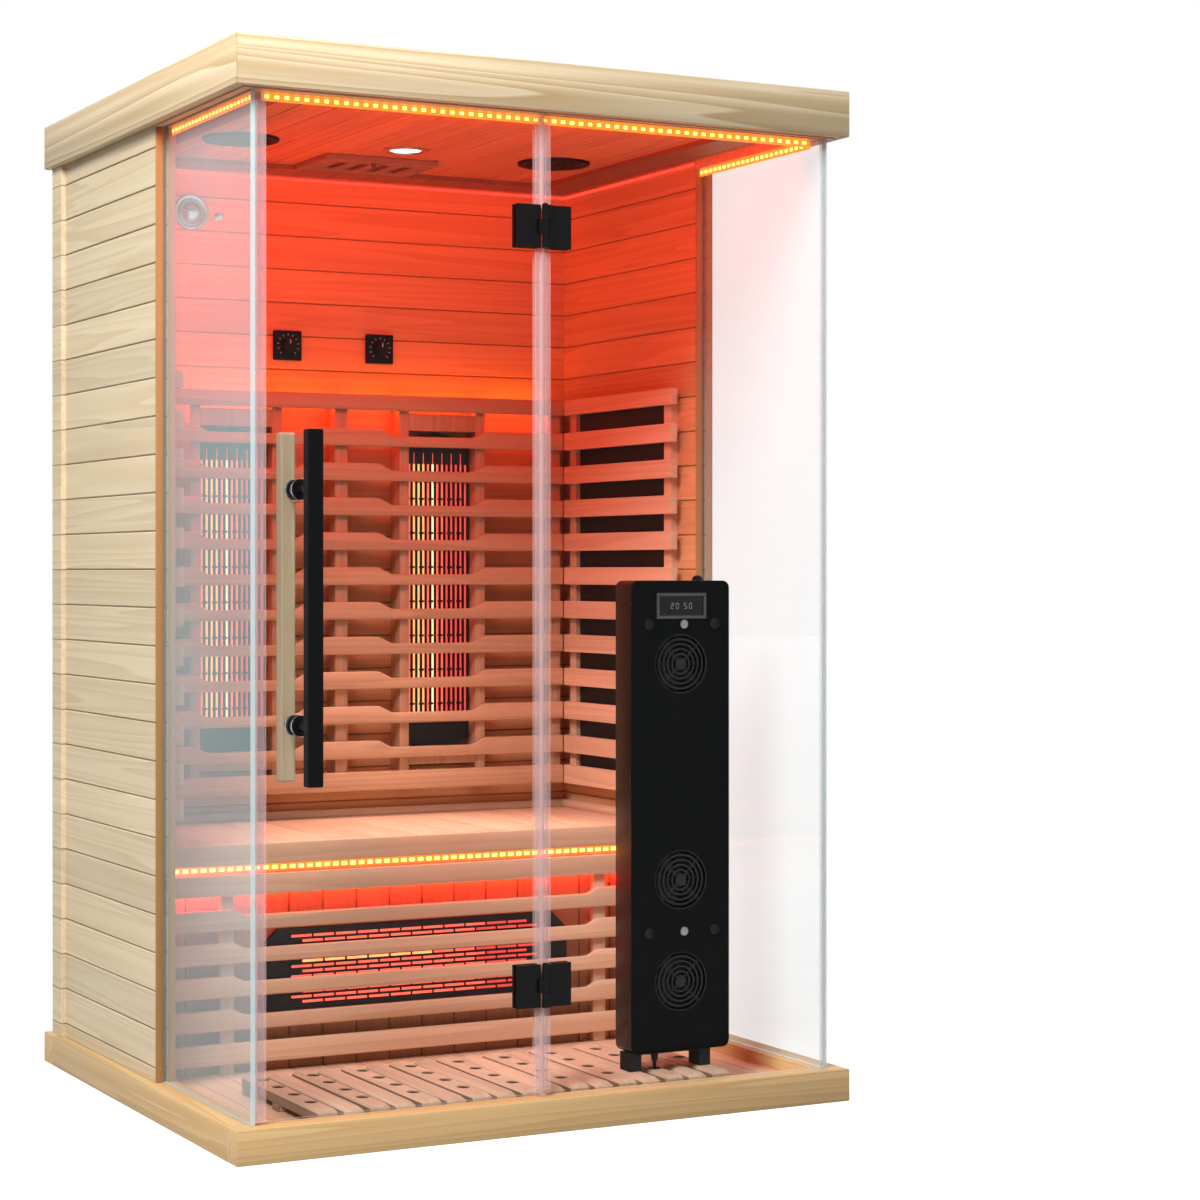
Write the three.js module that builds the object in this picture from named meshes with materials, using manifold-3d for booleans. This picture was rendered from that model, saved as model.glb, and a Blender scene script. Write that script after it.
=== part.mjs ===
// A two-person infrared sauna cabin, in millimetres, with +Z up and its glass front facing -Y.
// The origin is the middle of the underside of the base.

import * as THREE from 'three';
import { mergeVertices } from 'three/addons/utils/BufferGeometryUtils.js';
import Module from 'manifold-3d';

const wasm = await Module();
wasm.setup();

// Cabin outline
const cabinWidth = 1220;
const cabinDepth = 1120;
const cabinHeight = 1900;
const fit = 0.3;

// Base and floor
const baseHeight = 60;
const baseSideWidth = 60;
const baseFrontWidth = 50;
const baseBackWidth = 60;
const subFloor = 24;
const floorThickness = 12;

// Duckboard
const duckSlatCount = 17;
const duckSlatWidth = 43;
const duckSlatGap = 6;
const duckSlatThickness = 22;
const duckLength = 370;
const duckFrontInset = 3;
const duckLeftInset = 104;
const duckEndChamfer = 8;
const duckBattenThickness = 12;
const duckBattenWidth = 30;
const duckBattenPlaces = [37, 194, 347];
const duckHoleRadius = 11;
const duckHolePlaces = [77, 155, 233, 309];

// Walls and their boards
const fasciaThickness = 20;
const wallThickness = 38;
const backWallThickness = 34;
const sideWallDepth = 619;
const boardPitch = 70.3;
const firstBoardHeight = 26;
const grooveWidth = 5;
const grooveDepth = 2.5;
const cornerTrimWidth = 60;
const cornerTrimThickness = 9;
const glazingGrooveDepth = 12;

// Roof
const roofHeight = 86;
const ceilingRecess = 26;
const ceilingThickness = 12;
const headerWidth = 38;
const headerDrop = 2;
const headerRebate = 10;
const coveWidth = 85;
const coveThickness = 12;
const coveGap = 15;
const roofCoverThickness = 12;
const coverBearerWidth = 40;
const coverBearerInset = 90;

// Power supply on the roof
const powerBoxWidth = 300;
const powerBoxDepth = 180;
const powerBoxHeight = 28;
const powerBoxSetback = 6;
const inletWidth = 32;
const inletHeight = 20;
const inletReach = 2;

// Speakers, downlight and air vent in the ceiling
const speakerCoveGap = 35;
const speakerSetback = 363;
const speakerRimRadius = 75;
const speakerBodyRadius = 58;
const speakerRimThickness = 6;
const speakerDepth = 26;
const downlightSetback = 382;
const downlightRimRadius = 45;
const downlightBodyRadius = 34;
const downlightRimThickness = 4;
const downlightDepth = 24;
const downlightLensRecess = 2;
const ventCoveGap = 1;
const ventDepth = 170;
const ventBorder = 11;
const ventFaceThickness = 6;
const ventSlotCount = 4;
const ventSlotWidth = 23;
const ventSlotLength = 96;
const ventSlotPitch = 47;
const ventShutterThickness = 5;
const ventShutterMargin = 8;
const ventPegRadius = 5;
const ventPegDrop = 8;
const ventPegY = -62;

// Rotary dials and lamp on the back wall
const dialSpacing = 210;
const dialRise = 102;
const dialPlateSize = 62;
const dialPlateThickness = 10;
const dialKnobRadius = 17;
const dialKnobLength = 14;
const dialShaftRadius = 4;
const dialShaftLength = 8;
const dialPointerWidth = 3;
const lampWallInset = 234;
const lampDrop = 100;
const lampRingRadius = 37.5;
const lampRingThickness = 9;
const lampDomeRadius = 24;
const lampDomeHeight = 16;
const lampDomeGap = 3;
const lampEdge = 2;

// Glass
const glassThickness = 8;
const frontGlassInset = 33;
const paneSplitX = -22.5;
const paneGap = 5;
const doorTopGap = 4;
const doorBottomGap = 6;
const doorSideGap = 1.2;
const sealWall = 3;
const sealCover = 15;
const sealLip = 1.7;
const gapSealCover = 3;
const gapSealDoorGap = 0.6;
const cornerProfileLeg = 15;
const cornerProfileWall = 2;

// Hinges
const upperHingeDrop = 201;
const lowerHingeRise = 199;
const hingeHeight = 77;
const hingePlateWidth = 47;
const hingePlateThickness = 6;
const hingePlateStart = 6.8;
const hingeAxisOffset = 14;
const hingeKnuckleRadius = 6;
const hingePinRadius = 2.5;
const hingePinHead = 2;
const hingePinHeadRadius = 4.5;
const hingeWebWidth = 20;
const hingeWebHeight = 48;
const hingeTabDepth = 9;
const hingeTabOverlap = 6;

// Door handle
const handleInset = 75;
const handleZ = 935;
const handleLength = 602;
const handleBarWidth = 28;
const handleBarDepth = 24;
const handleOuterReach = 54;
const handleInnerReach = 41;
const handleStudInset = 100;
const handleStudRadius = 8;
const handleCollarRadius = 18;
const handleCollarThickness = 12;
const handleNeckRadius = 6.5;

// Bench
const benchDepth = 466;
const benchTopZ = 477;
const benchBoardThickness = 22;
const benchBoardPitch = 92;
const benchNosingHeight = 41;
const benchNosingThickness = 22;
const benchLedgerHeight = 25;
const benchLedgerThickness = 25;
const benchTrimSize = 16;
const benchGuardThickness = 14;
const benchKickSetback = 32;
const benchKickThickness = 18;
const benchRailTopZ = 418;
const benchRailHeight = 40;
const benchSlatCount = 4;
const benchSlatTopZ = 352;
const benchSlatHeight = 40;
const benchSlatPitch = 63.5;
const benchBottomRailZ = 57;
const benchDipDepth = 12;
const benchDipFlat = 730;
const benchDipRamp = 30;
const benchUprightGap = 7;
const benchUprightWidth = 28;
const benchHeaterWidth = 660;
const benchHeaterHeight = 157;
const benchHeaterZ = 228;
const benchHeaterThickness = 10;
const benchHeaterBevel = 34;
const benchHeaterRowCount = 10;
const benchHeaterRowPitch = 13;
const benchHeaterRowLength = 540;

// Backrest and side guards share the same rows of slats
const guardRailTopZ = 1370;
const guardRailHeight = 32;
const guardSlatCount = 10;
const guardSlatTopZ = 1298.8;
const guardSlatHeight = 37.5;
const guardSlatPitch = 73.4;
const guardBottomRailZ = 533;
const guardBottomRailHeight = 40;
const guardThickness = 16;
const backGuardStandoff = 65;
const backDipX = 205;
const backDipDepth = 15;
const backDipFlat = 180;
const backDipRamp = 40;
const guardUprightWidth = 28;
const sideGuardStandoff = 33;
const sideGuardLength = 474;
const sideUprightInset = 25;

// Heaters
const backHeaterX = 234;
const backHeaterWidth = 153;
const backHeaterBottomZ = 622;
const backHeaterTopZ = 1295;
const backHeaterThickness = 16;
const backHeaterArch = 30;
const backHeaterCorner = 28;
const heaterBoxWall = 22;
const heaterBoxClearance = 2;
const heaterBoxEnd = 36;
const heaterRodCount = 13;
const heaterRodPitch = 11;
const heaterRodSize = 5;
const heaterRodMargin = 70;
const sideHeaterLength = 376;
const sideHeaterRearInset = 30;
const sideHeaterThickness = 8;

// Red-light panel
const panelWidth = 208;
const panelHeight = 875;
const panelDepth = 65;
const panelCornerRadius = 14;
const panelWall = 3;
const panelCoverThickness = 3;
const panelLip = 8;
const panelLipThickness = 2;
const ledPlateThickness = 3;
const panelFootHeight = 34;
const panelFootWidth = 24;
const panelFootDepth = 40;
const panelFootPlate = 4;
const panelLeadOffset = 40;
const panelLeadSetback = 30;
const leadSlat = 14;
const footSlats = [13, 16];
const leadRadius = 3.5;
const glandRadius = 8;
const glandLength = 20;
const glandTipRadius = 5;
const fanHeights = [720, 318, 129];
const fanRadius = 50;
const fanHubRadius = 14;
const fanThickness = 12;
const fanBladeCount = 7;
const fanBladeThickness = 2.5;
const fanBladeRoot = 2;
const fanBladePitch = Math.PI / 6;
const fanPostRadius = 4;
const fanSetback = 4;
const grilleInnerRadius = 20;
const grilleOuterRadius = 52;
const grilleSpokeWidth = 7;
const buttonX = 6;
const buttonHeights = [794, 222];
const buttonRadius = 8.5;
const buttonProud = 4;
const buttonFlange = 2.5;
const bossSpacing = 140;
const bossRadius = 10;
const bossReach = 6;
const displayZ = 828;
const displayWidth = 106;
const displayHeight = 48;
const displayBorder = 6;
const displayProud = 3;

// Round surfaces
const fineSides = 20;
const coarseSides = 12;
const holeSides = 8;

// Planes that several pieces share
const baseInnerX = cabinWidth / 2 - baseSideWidth;
const baseInnerFrontY = -cabinDepth / 2 + baseFrontWidth;
const baseInnerBackY = cabinDepth / 2 - baseBackWidth;
const floorTopZ = subFloor + fit + floorThickness;
const roofBottomZ = cabinHeight - roofHeight;
const ceilingZ = roofBottomZ + ceilingRecess;
const ceilingTopZ = ceilingZ + ceilingThickness;
const wallOuterX = cabinWidth / 2 - fasciaThickness - fit;
const wallInnerX = wallOuterX - wallThickness;
const wallRearY = cabinDepth / 2 - fasciaThickness - fit;
const backWallY = wallRearY - backWallThickness;
const wallFrontY = wallRearY - sideWallDepth;
const coveOuterX = wallInnerX - coveGap;
const coveInnerX = coveOuterX - coveWidth;
const coveRearY = backWallY - coveGap;
const coveInnerY = coveRearY - coveWidth;
const speakerX = coveInnerX - speakerCoveGap - speakerRimRadius;
const speakerY = backWallY - speakerSetback;
const downlightY = backWallY - downlightSetback;
const ventY = coveInnerY - ventCoveGap - ventDepth / 2;
const dialZ = guardRailTopZ + dialRise;
const lampX = -wallInnerX + lampWallInset;
const lampZ = ceilingZ - lampDrop;
const wallBottomZ = baseHeight + fit;
const wallTopZ = ceilingZ - fit;
const headerBottomZ = roofBottomZ - headerDrop;
const upperHingeZ = headerBottomZ - upperHingeDrop;
const lowerHingeZ = baseHeight + lowerHingeRise;
const headerFrontY = -cabinDepth / 2 + fasciaThickness + fit;
const headerInnerY = headerFrontY + headerWidth;
const sideGlassX = (wallOuterX + wallInnerX) / 2;
const frontGlassY = -cabinDepth / 2 + frontGlassInset;
const glassFrontY = frontGlassY - glassThickness / 2;
const glassBackY = frontGlassY + glassThickness / 2;
const glassTopZ = headerBottomZ + headerRebate - fit;
const sideGlassInnerX = sideGlassX - glassThickness / 2;
const doorRightX = paneSplitX - paneGap / 2;
const fixedLeftX = paneSplitX + paneGap / 2;
const doorSealX = -sideGlassInnerX + doorSideGap;
const doorLeftX = doorSealX + sealWall + fit;
const handleX = doorLeftX + handleInset;
const handleStudSpacing = handleLength - 2 * handleStudInset;
const doorTopZ = headerBottomZ - doorTopGap;
const doorBottomZ = baseHeight + doorBottomGap;
const duckPitch = duckSlatWidth + duckSlatGap;
const duckLeftX = -baseInnerX + duckLeftInset;
const duckFrontY = baseInnerFrontY + duckFrontInset;
const duckTopZ = floorTopZ + fit + duckBattenThickness + duckSlatThickness;
const benchFrontY = backWallY - benchDepth;
const benchKickY = benchFrontY + benchKickSetback;
const benchUprightX = benchDipFlat / 2 + benchDipRamp + benchUprightGap;
const benchSideX = Math.min(wallInnerX, baseInnerX) - fit;
const backGuardY = backWallY - backGuardStandoff;
const sideGuardX = wallInnerX - sideGuardStandoff;
const panelX = slatCentre(leadSlat) + panelLeadOffset;
const panelY = duckFrontY + duckHolePlaces[0] - panelLeadSetback;
const panelZ = duckTopZ + panelFootHeight;

// Materials
const paleWood = { color: 0xe6cf9f, roughness: 0.6, metalness: 0 };
const innerWood = { color: 0xd9a878, roughness: 0.6, metalness: 0 };
const oakWood = { color: 0xd9b878, roughness: 0.55, metalness: 0 };
const clearGlass = { color: 0xdfe9ea, roughness: 0.05, metalness: 0, transparent: true, opacity: 0.3 };
const sealClear = { color: 0xc9cfd2, roughness: 0.35, metalness: 0 };
const blackMetal = { color: 0x15161a, roughness: 0.4, metalness: 0.6 };
const steel = { color: 0xb8bcc0, roughness: 0.25, metalness: 1 };
const blackPlastic = { color: 0x121315, roughness: 0.45, metalness: 0 };
const heaterBlack = { color: 0x1a1614, roughness: 0.7, metalness: 0 };
const ledRed = { color: 0xc01818, roughness: 0.4, metalness: 0 };
const rubber = { color: 0x0f0f10, roughness: 0.85, metalness: 0 };
const plywood = { color: 0xcdb389, roughness: 0.7, metalness: 0 };

// Shape helpers

// A closed mesh with its corners merged, as a solid that can be cut and joined.
function solidOf(geometry) {
  const bare = new THREE.BufferGeometry();
  bare.setAttribute('position', geometry.getAttribute('position').clone());
  bare.setIndex(geometry.getIndex());
  const merged = mergeVertices(bare, 1e-4);
  const corners = merged.getIndex().array;
  const triangles = [];
  for (let i = 0; i < corners.length; i += 3) {
    const [a, b, c] = corners.slice(i, i + 3);
    if (a !== b && b !== c && c !== a) triangles.push(a, b, c);
  }
  if (signedVolume(merged.getAttribute('position'), triangles) < 0) triangles.reverse();
  return new wasm.Manifold(new wasm.Mesh({
    numProp: 3,
    vertProperties: Float32Array.from(merged.getAttribute('position').array),
    triVerts: Uint32Array.from(triangles),
  }));
}

function signedVolume(position, triangles) {
  const corner = (i) => new THREE.Vector3().fromBufferAttribute(position, triangles[i]);
  let volume = 0;
  for (let i = 0; i < triangles.length; i += 3) {
    volume += corner(i).dot(corner(i + 1).cross(corner(i + 2))) / 6;
  }
  return volume;
}

function geometryOf(solid) {
  const mesh = solid.getMesh();
  const geometry = new THREE.BufferGeometry();
  geometry.setAttribute('position', new THREE.BufferAttribute(mesh.vertProperties, 3));
  geometry.setIndex(new THREE.BufferAttribute(mesh.triVerts, 1));
  geometry.computeVertexNormals();
  return geometry;
}

function join(geometries) {
  return geometryOf(geometries.map(solidOf).reduce((whole, piece) => whole.add(piece)));
}

function cut(body, tools) {
  return geometryOf(tools.map(solidOf).reduce((rest, tool) => rest.subtract(tool), solidOf(body)));
}

function box(x0, x1, y0, y1, z0, z1) {
  const geometry = new THREE.BoxGeometry(Math.abs(x1 - x0), Math.abs(y1 - y0), Math.abs(z1 - z0));
  return geometry.translate((x0 + x1) / 2, (y0 + y1) / 2, (z0 + z1) / 2);
}

function outlineOf(points) {
  return new THREE.Shape(points.map(([u, v]) => new THREE.Vector2(u, v)));
}

function extruded(shape, length, right, up, along) {
  const options = { depth: length, bevelEnabled: false, curveSegments: 3 };
  const geometry = new THREE.ExtrudeGeometry(shape, options);
  return geometry.applyMatrix4(new THREE.Matrix4().makeBasis(right, up, along));
}

const axisX = new THREE.Vector3(1, 0, 0);
const axisY = new THREE.Vector3(0, 1, 0);
const axisZ = new THREE.Vector3(0, 0, 1);

// An outline in X and Z, run along Y.
function alongY(shape, y0, y1) {
  return extruded(shape, y1 - y0, axisX, axisZ, axisY.clone().negate()).translate(0, y1, 0);
}

// An outline in Y and Z, run along X.
function alongX(shape, x0, x1) {
  return extruded(shape, x1 - x0, axisY, axisZ, axisX).translate(x0, 0, 0);
}

// An outline in X and Y, run along Z.
function alongZ(shape, z0, z1) {
  return extruded(shape, z1 - z0, axisX, axisY, axisZ).translate(0, 0, z0);
}

// A profile of [radius, place] pairs turned about the Y axis, or about the Z axis.
function turnedY(profile, sides) {
  return new THREE.LatheGeometry(profile.map(([r, y]) => new THREE.Vector2(r, y)), sides);
}

function turnedZ(profile, sides) {
  const upright = new THREE.Matrix4().makeBasis(axisX, axisZ, axisY.clone().negate());
  return turnedY(profile, sides).applyMatrix4(upright);
}

function rodY(radius, y0, y1, sides) {
  return turnedY([[0, y0], [radius, y0], [radius, y1], [0, y1]], sides);
}

function rodZ(radius, z0, z1, sides) {
  return turnedZ([[0, z0], [radius, z0], [radius, z1], [0, z1]], sides);
}

// A rectangle with rounded corners, centred in X and standing on v = 0.
function roundedPanel(width, height, radius) {
  const shape = new THREE.Shape();
  const side = width / 2 - radius;
  shape.absarc(side, radius, radius, -Math.PI / 2, 0);
  shape.absarc(side, height - radius, radius, 0, Math.PI / 2);
  shape.absarc(-side, height - radius, radius, Math.PI / 2, Math.PI);
  shape.absarc(-side, radius, radius, Math.PI, Math.PI * 1.5);
  return shape;
}

// Points along a boarded face, with a V groove at every joint between two boards.
function boardedFace(from, to, firstJoint, pitch, level, inward) {
  const points = [[from, level]];
  for (let joint = firstJoint; joint < to - grooveWidth; joint += pitch) {
    points.push([joint - grooveWidth / 2, level]);
    points.push([joint, level + inward]);
    points.push([joint + grooveWidth / 2, level]);
  }
  points.push([to, level]);
  return points;
}

function slatCentre(index) {
  return duckLeftX + duckSlatWidth / 2 + index * duckPitch;
}

// A straight slat in X and Z whose top edge dips in front of each heater.
function dippedSlat(x0, x1, bottom, height, dips, { depth, flat, ramp }) {
  const steps = 3;
  const points = [[x0, bottom], [x1, bottom], [x1, bottom + height]];
  const drop = (t) => bottom + height - depth * (1 - Math.cos(Math.PI * t)) / 2;
  for (const centre of [...dips].sort((a, b) => b - a)) {
    for (let i = 0; i <= steps; i += 1) {
      points.push([centre + flat / 2 + ramp * (1 - i / steps), drop(i / steps)]);
    }
    for (let i = 0; i <= steps; i += 1) {
      points.push([centre - flat / 2 - ramp * (i / steps), drop(1 - i / steps)]);
    }
  }
  points.push([x0, bottom + height]);
  return outlineOf(points);
}

function add(group, name, geometry, finish) {
  const mesh = new THREE.Mesh(geometryOf(solidOf(geometry)), new THREE.MeshStandardMaterial(finish));
  mesh.name = name;
  group.add(mesh);
  return mesh;
}

function groupAt(parent, x, y, z) {
  const group = new THREE.Group();
  group.position.set(x, y, z);
  parent.add(group);
  return group;
}

// Base and floor

function baseTray() {
  const block = box(-cabinWidth / 2, cabinWidth / 2, -cabinDepth / 2, cabinDepth / 2, 0, baseHeight);
  const well = box(-baseInnerX, baseInnerX, baseInnerFrontY, baseInnerBackY, subFloor, baseHeight + 1);
  return cut(block, [well]);
}

function floorPanel() {
  const half = baseInnerX - fit;
  const bottom = subFloor + fit;
  const top = boardedFace(-half, half, -half + boardPitch, boardPitch, floorTopZ, -grooveDepth);
  const outline = outlineOf([[-half, bottom], ...top, [half, bottom]].reverse());
  return alongY(outline, baseInnerFrontY + fit, baseInnerBackY - fit);
}

function duckboard() {
  const slatBottom = duckTopZ - duckSlatThickness;
  const rear = duckFrontY + duckLength;
  const side = outlineOf([
    [duckFrontY, slatBottom],
    [rear, slatBottom],
    [rear, duckTopZ - duckEndChamfer],
    [rear - duckEndChamfer, duckTopZ],
    [duckFrontY + duckEndChamfer, duckTopZ],
    [duckFrontY, duckTopZ - duckEndChamfer],
  ]);
  const pieces = [];
  const holes = [];
  for (let i = 0; i < duckSlatCount; i += 1) {
    const x = slatCentre(i);
    pieces.push(alongX(side, x - duckSlatWidth / 2, x + duckSlatWidth / 2));
    if (i % 2 === 1) continue;
    for (const place of duckHolePlaces) {
      const hole = rodZ(duckHoleRadius, slatBottom - 1, duckTopZ + 1, holeSides);
      holes.push(hole.translate(x, duckFrontY + place, 0));
    }
  }
  const rightX = slatCentre(duckSlatCount - 1) + duckSlatWidth / 2;
  for (const place of duckBattenPlaces) {
    const front = duckFrontY + place - duckBattenWidth / 2;
    pieces.push(box(duckLeftX, rightX, front, front + duckBattenWidth, floorTopZ + fit, slatBottom + 1));
  }
  return cut(join(pieces), holes);
}

// Walls

function sideWall(side) {
  const joint = wallBottomZ + firstBoardHeight;
  const outer = boardedFace(wallBottomZ, wallTopZ, joint, boardPitch, wallOuterX, -grooveDepth);
  const inner = boardedFace(wallBottomZ, wallTopZ, joint, boardPitch, wallInnerX, grooveDepth).reverse();
  const outline = outlineOf([...outer, ...inner].map(([z, x]) => [side * x, z]));
  const panel = alongY(outline, wallFrontY, wallRearY);
  const trim = box(
    side * (wallOuterX - grooveDepth - 1), side * (wallOuterX + cornerTrimThickness),
    wallRearY - cornerTrimWidth, wallRearY,
    wallBottomZ, roofBottomZ - fit,
  );
  const slot = glassThickness / 2 + fit;
  const groove = box(
    side * (sideGlassX - slot), side * (sideGlassX + slot),
    wallFrontY - 1, wallFrontY + glazingGrooveDepth,
    wallBottomZ - 1, wallTopZ + 1,
  );
  return cut(join([panel, trim]), [groove]);
}

function backWall() {
  const joint = wallBottomZ + firstBoardHeight;
  const inner = boardedFace(wallBottomZ, wallTopZ, joint, boardPitch, backWallY, grooveDepth);
  const outer = boardedFace(wallBottomZ, wallTopZ, joint, boardPitch, wallRearY, -grooveDepth).reverse();
  const outline = outlineOf([...inner, ...outer].map(([z, y]) => [y, z]));
  return alongX(outline, -wallInnerX + fit, wallInnerX - fit);
}

// Roof

function roofFascia() {
  const halfX = cabinWidth / 2;
  const halfY = cabinDepth / 2;
  const block = box(-halfX, halfX, -halfY, halfY, roofBottomZ, cabinHeight);
  const innerX = halfX - fasciaThickness;
  const innerY = halfY - fasciaThickness;
  const opening = box(-innerX, innerX, -innerY, innerY, roofBottomZ - 1, cabinHeight + 1);
  const inletZ = ceilingTopZ + fit + powerBoxHeight / 2;
  const inletHole = box(
    -inletWidth / 2 - fit, inletWidth / 2 + fit,
    innerY - 1, halfY + 1,
    inletZ - inletHeight / 2 - fit, inletZ + inletHeight / 2 + fit,
  );
  return cut(block, [opening, inletHole]);
}

function ceilingPanel() {
  const half = wallOuterX;
  const under = boardedFace(-half, half, -half + boardPitch, boardPitch, ceilingZ, grooveDepth);
  const outline = outlineOf([...under, [half, ceilingTopZ], [-half, ceilingTopZ]]);
  const pieces = [alongY(outline, headerFrontY, wallRearY)];
  const coveTop = ceilingZ + grooveDepth + 1;
  const coveBottom = ceilingZ - coveThickness;
  for (const side of [-1, 1]) {
    const [x0, x1] = [side * coveInnerX, side * coveOuterX];
    pieces.push(box(x0, x1, headerInnerY + fit, coveRearY, coveBottom, coveTop));
  }
  pieces.push(box(-coveOuterX, coveOuterX, coveInnerY, coveRearY, coveBottom, coveTop));
  const roundHole = (radius, x, y) => (
    rodZ(radius + fit, ceilingZ - 1, ceilingTopZ + 1, fineSides).translate(x, y, 0)
  );
  const holes = [-1, 1].map((side) => roundHole(speakerBodyRadius, side * speakerX, speakerY));
  holes.push(roundHole(downlightBodyRadius, 0, downlightY));
  holes.push(box(
    -ventOpening() / 2, ventOpening() / 2,
    ventY - ventSlotLength / 2, ventY + ventSlotLength / 2,
    ceilingZ - 1, ceilingTopZ + 1,
  ));
  return cut(join(pieces), holes);
}

function roofCover() {
  const bottom = cabinHeight - roofCoverThickness;
  const pieces = [box(-wallOuterX, wallOuterX, headerFrontY, wallRearY, bottom, cabinHeight)];
  for (const side of [-1, 1]) {
    const outer = side * (wallOuterX - coverBearerInset);
    const inner = outer - side * coverBearerWidth;
    pieces.push(box(inner, outer, headerFrontY, wallRearY, ceilingTopZ + fit, bottom + 1));
  }
  return join(pieces);
}

function canopyHeader() {
  const top = ceilingZ - fit;
  const pieces = [box(-wallOuterX, wallOuterX, headerFrontY, headerInnerY, headerBottomZ, top)];
  const slot = glassThickness / 2 + fit;
  const rebateTop = headerBottomZ + headerRebate;
  const grooves = [box(
    fixedLeftX - fit, sideGlassX,
    frontGlassY - slot, frontGlassY + slot,
    headerBottomZ - 1, rebateTop,
  )];
  for (const side of [-1, 1]) {
    pieces.push(box(
      side * wallInnerX, side * wallOuterX,
      headerInnerY - 1, wallFrontY - fit,
      headerBottomZ, top,
    ));
    grooves.push(box(
      side * (sideGlassX - slot), side * (sideGlassX + slot),
      glassFrontY - fit, wallFrontY,
      headerBottomZ - 1, rebateTop,
    ));
  }
  return cut(join(pieces), grooves);
}

function powerBox() {
  const bottom = ceilingTopZ + fit;
  const rear = wallRearY - powerBoxSetback;
  const middle = bottom + powerBoxHeight / 2;
  const half = powerBoxWidth / 2;
  return join([
    box(-half, half, rear - powerBoxDepth, rear, bottom, bottom + powerBoxHeight),
    box(
      -inletWidth / 2, inletWidth / 2,
      rear - 1, cabinDepth / 2 + inletReach,
      middle - inletHeight / 2, middle + inletHeight / 2,
    ),
  ]);
}

// Ceiling fittings, each drawn with the ceiling's underside at z = 0

function speaker() {
  const grilleRadius = (speakerRimRadius + speakerBodyRadius) / 2;
  return turnedZ([
    [0, -speakerRimThickness / 2],
    [grilleRadius, -speakerRimThickness / 2],
    [grilleRadius, -speakerRimThickness],
    [speakerRimRadius, -speakerRimThickness + 1],
    [speakerRimRadius, -fit],
    [speakerBodyRadius, -fit],
    [speakerBodyRadius, speakerDepth],
    [0, speakerDepth],
  ], fineSides);
}

function downlight() {
  const lensRadius = downlightBodyRadius;
  return turnedZ([
    [0, -downlightRimThickness + downlightLensRecess],
    [lensRadius, -downlightRimThickness + downlightLensRecess],
    [lensRadius, -downlightRimThickness],
    [downlightRimRadius, -downlightRimThickness + 1],
    [downlightRimRadius, -fit],
    [downlightBodyRadius, -fit],
    [downlightBodyRadius, downlightDepth],
    [0, downlightDepth],
  ], fineSides);
}

function ventOpening() {
  return (ventSlotCount - 1) * ventSlotPitch + ventSlotWidth;
}

function ventShutterWidth() {
  return ventOpening() + ventSlotWidth + 2 * ventShutterMargin;
}

function ventWidth() {
  return ventShutterWidth() + ventSlotWidth + 2 * (ventBorder + fit);
}

function ventSlots(shift, bottom, top) {
  const slots = [];
  const half = ventSlotWidth / 2;
  for (let i = 0; i < ventSlotCount; i += 1) {
    const x = (i - (ventSlotCount - 1) / 2) * ventSlotPitch + shift;
    slots.push(box(x - half, x + half, -ventSlotLength / 2, ventSlotLength / 2, bottom, top));
  }
  return slots;
}

function ventFrame() {
  const bottom = -ventFaceThickness - ventShutterThickness - 3 * fit;
  const shelf = bottom + ventFaceThickness;
  const half = ventWidth() / 2;
  const block = box(-half, half, -ventDepth / 2, ventDepth / 2, bottom, -fit);
  const innerX = half - ventBorder;
  const innerY = ventDepth / 2 - ventBorder;
  const recess = box(-innerX, innerX, -innerY, innerY, shelf, 1);
  const pegRoom = ventSlotWidth / 2 + ventPegRadius + fit;
  const pegSlot = box(
    -pegRoom, pegRoom,
    ventPegY - ventPegRadius - fit, ventPegY + ventPegRadius + fit,
    bottom - 1, shelf + 1,
  );
  return cut(block, [recess, pegSlot, ...ventSlots(0, bottom - 1, shelf + 1)]);
}

// The shutter lies half a slot to the left when the vent is closed.
function ventSlider() {
  const top = -2 * fit;
  const bottom = top - ventShutterThickness;
  const half = ventShutterWidth() / 2;
  const innerY = ventDepth / 2 - ventBorder - fit;
  const faceBottom = -ventFaceThickness - ventShutterThickness - 3 * fit;
  const plate = box(-half, half, -innerY, innerY, bottom, top);
  const open = cut(plate, ventSlots(-ventSlotWidth / 2, bottom - 1, top + 1));
  const peg = rodZ(ventPegRadius, faceBottom - ventPegDrop, bottom + 1, coarseSides);
  return join([open, peg.translate(0, ventPegY, 0)]).translate(-ventSlotWidth / 2, 0, 0);
}

// Dials and lamp, each drawn with the wall's face at y = 0

function dialPlate() {
  const half = dialPlateSize / 2;
  const plate = box(-half, half, -dialPlateThickness - fit, -fit, -half, half);
  return cut(plate, [rodY(dialShaftRadius + fit, -dialPlateThickness - 1, 1, coarseSides)]);
}

function dialKnob() {
  const seat = -dialPlateThickness - 2 * fit;
  const face = seat - dialKnobLength;
  const body = turnedY([
    [0, face],
    [dialKnobRadius - 1, face],
    [dialKnobRadius, face + 1],
    [dialKnobRadius, seat],
    [dialShaftRadius, seat],
    [dialShaftRadius, seat + dialShaftLength],
    [0, seat + dialShaftLength],
  ], fineSides);
  const half = dialPointerWidth / 2;
  return join([body, box(-half, half, face - 1, face + 1, dialKnobRadius * 0.3, dialKnobRadius * 0.9)]);
}

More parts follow.
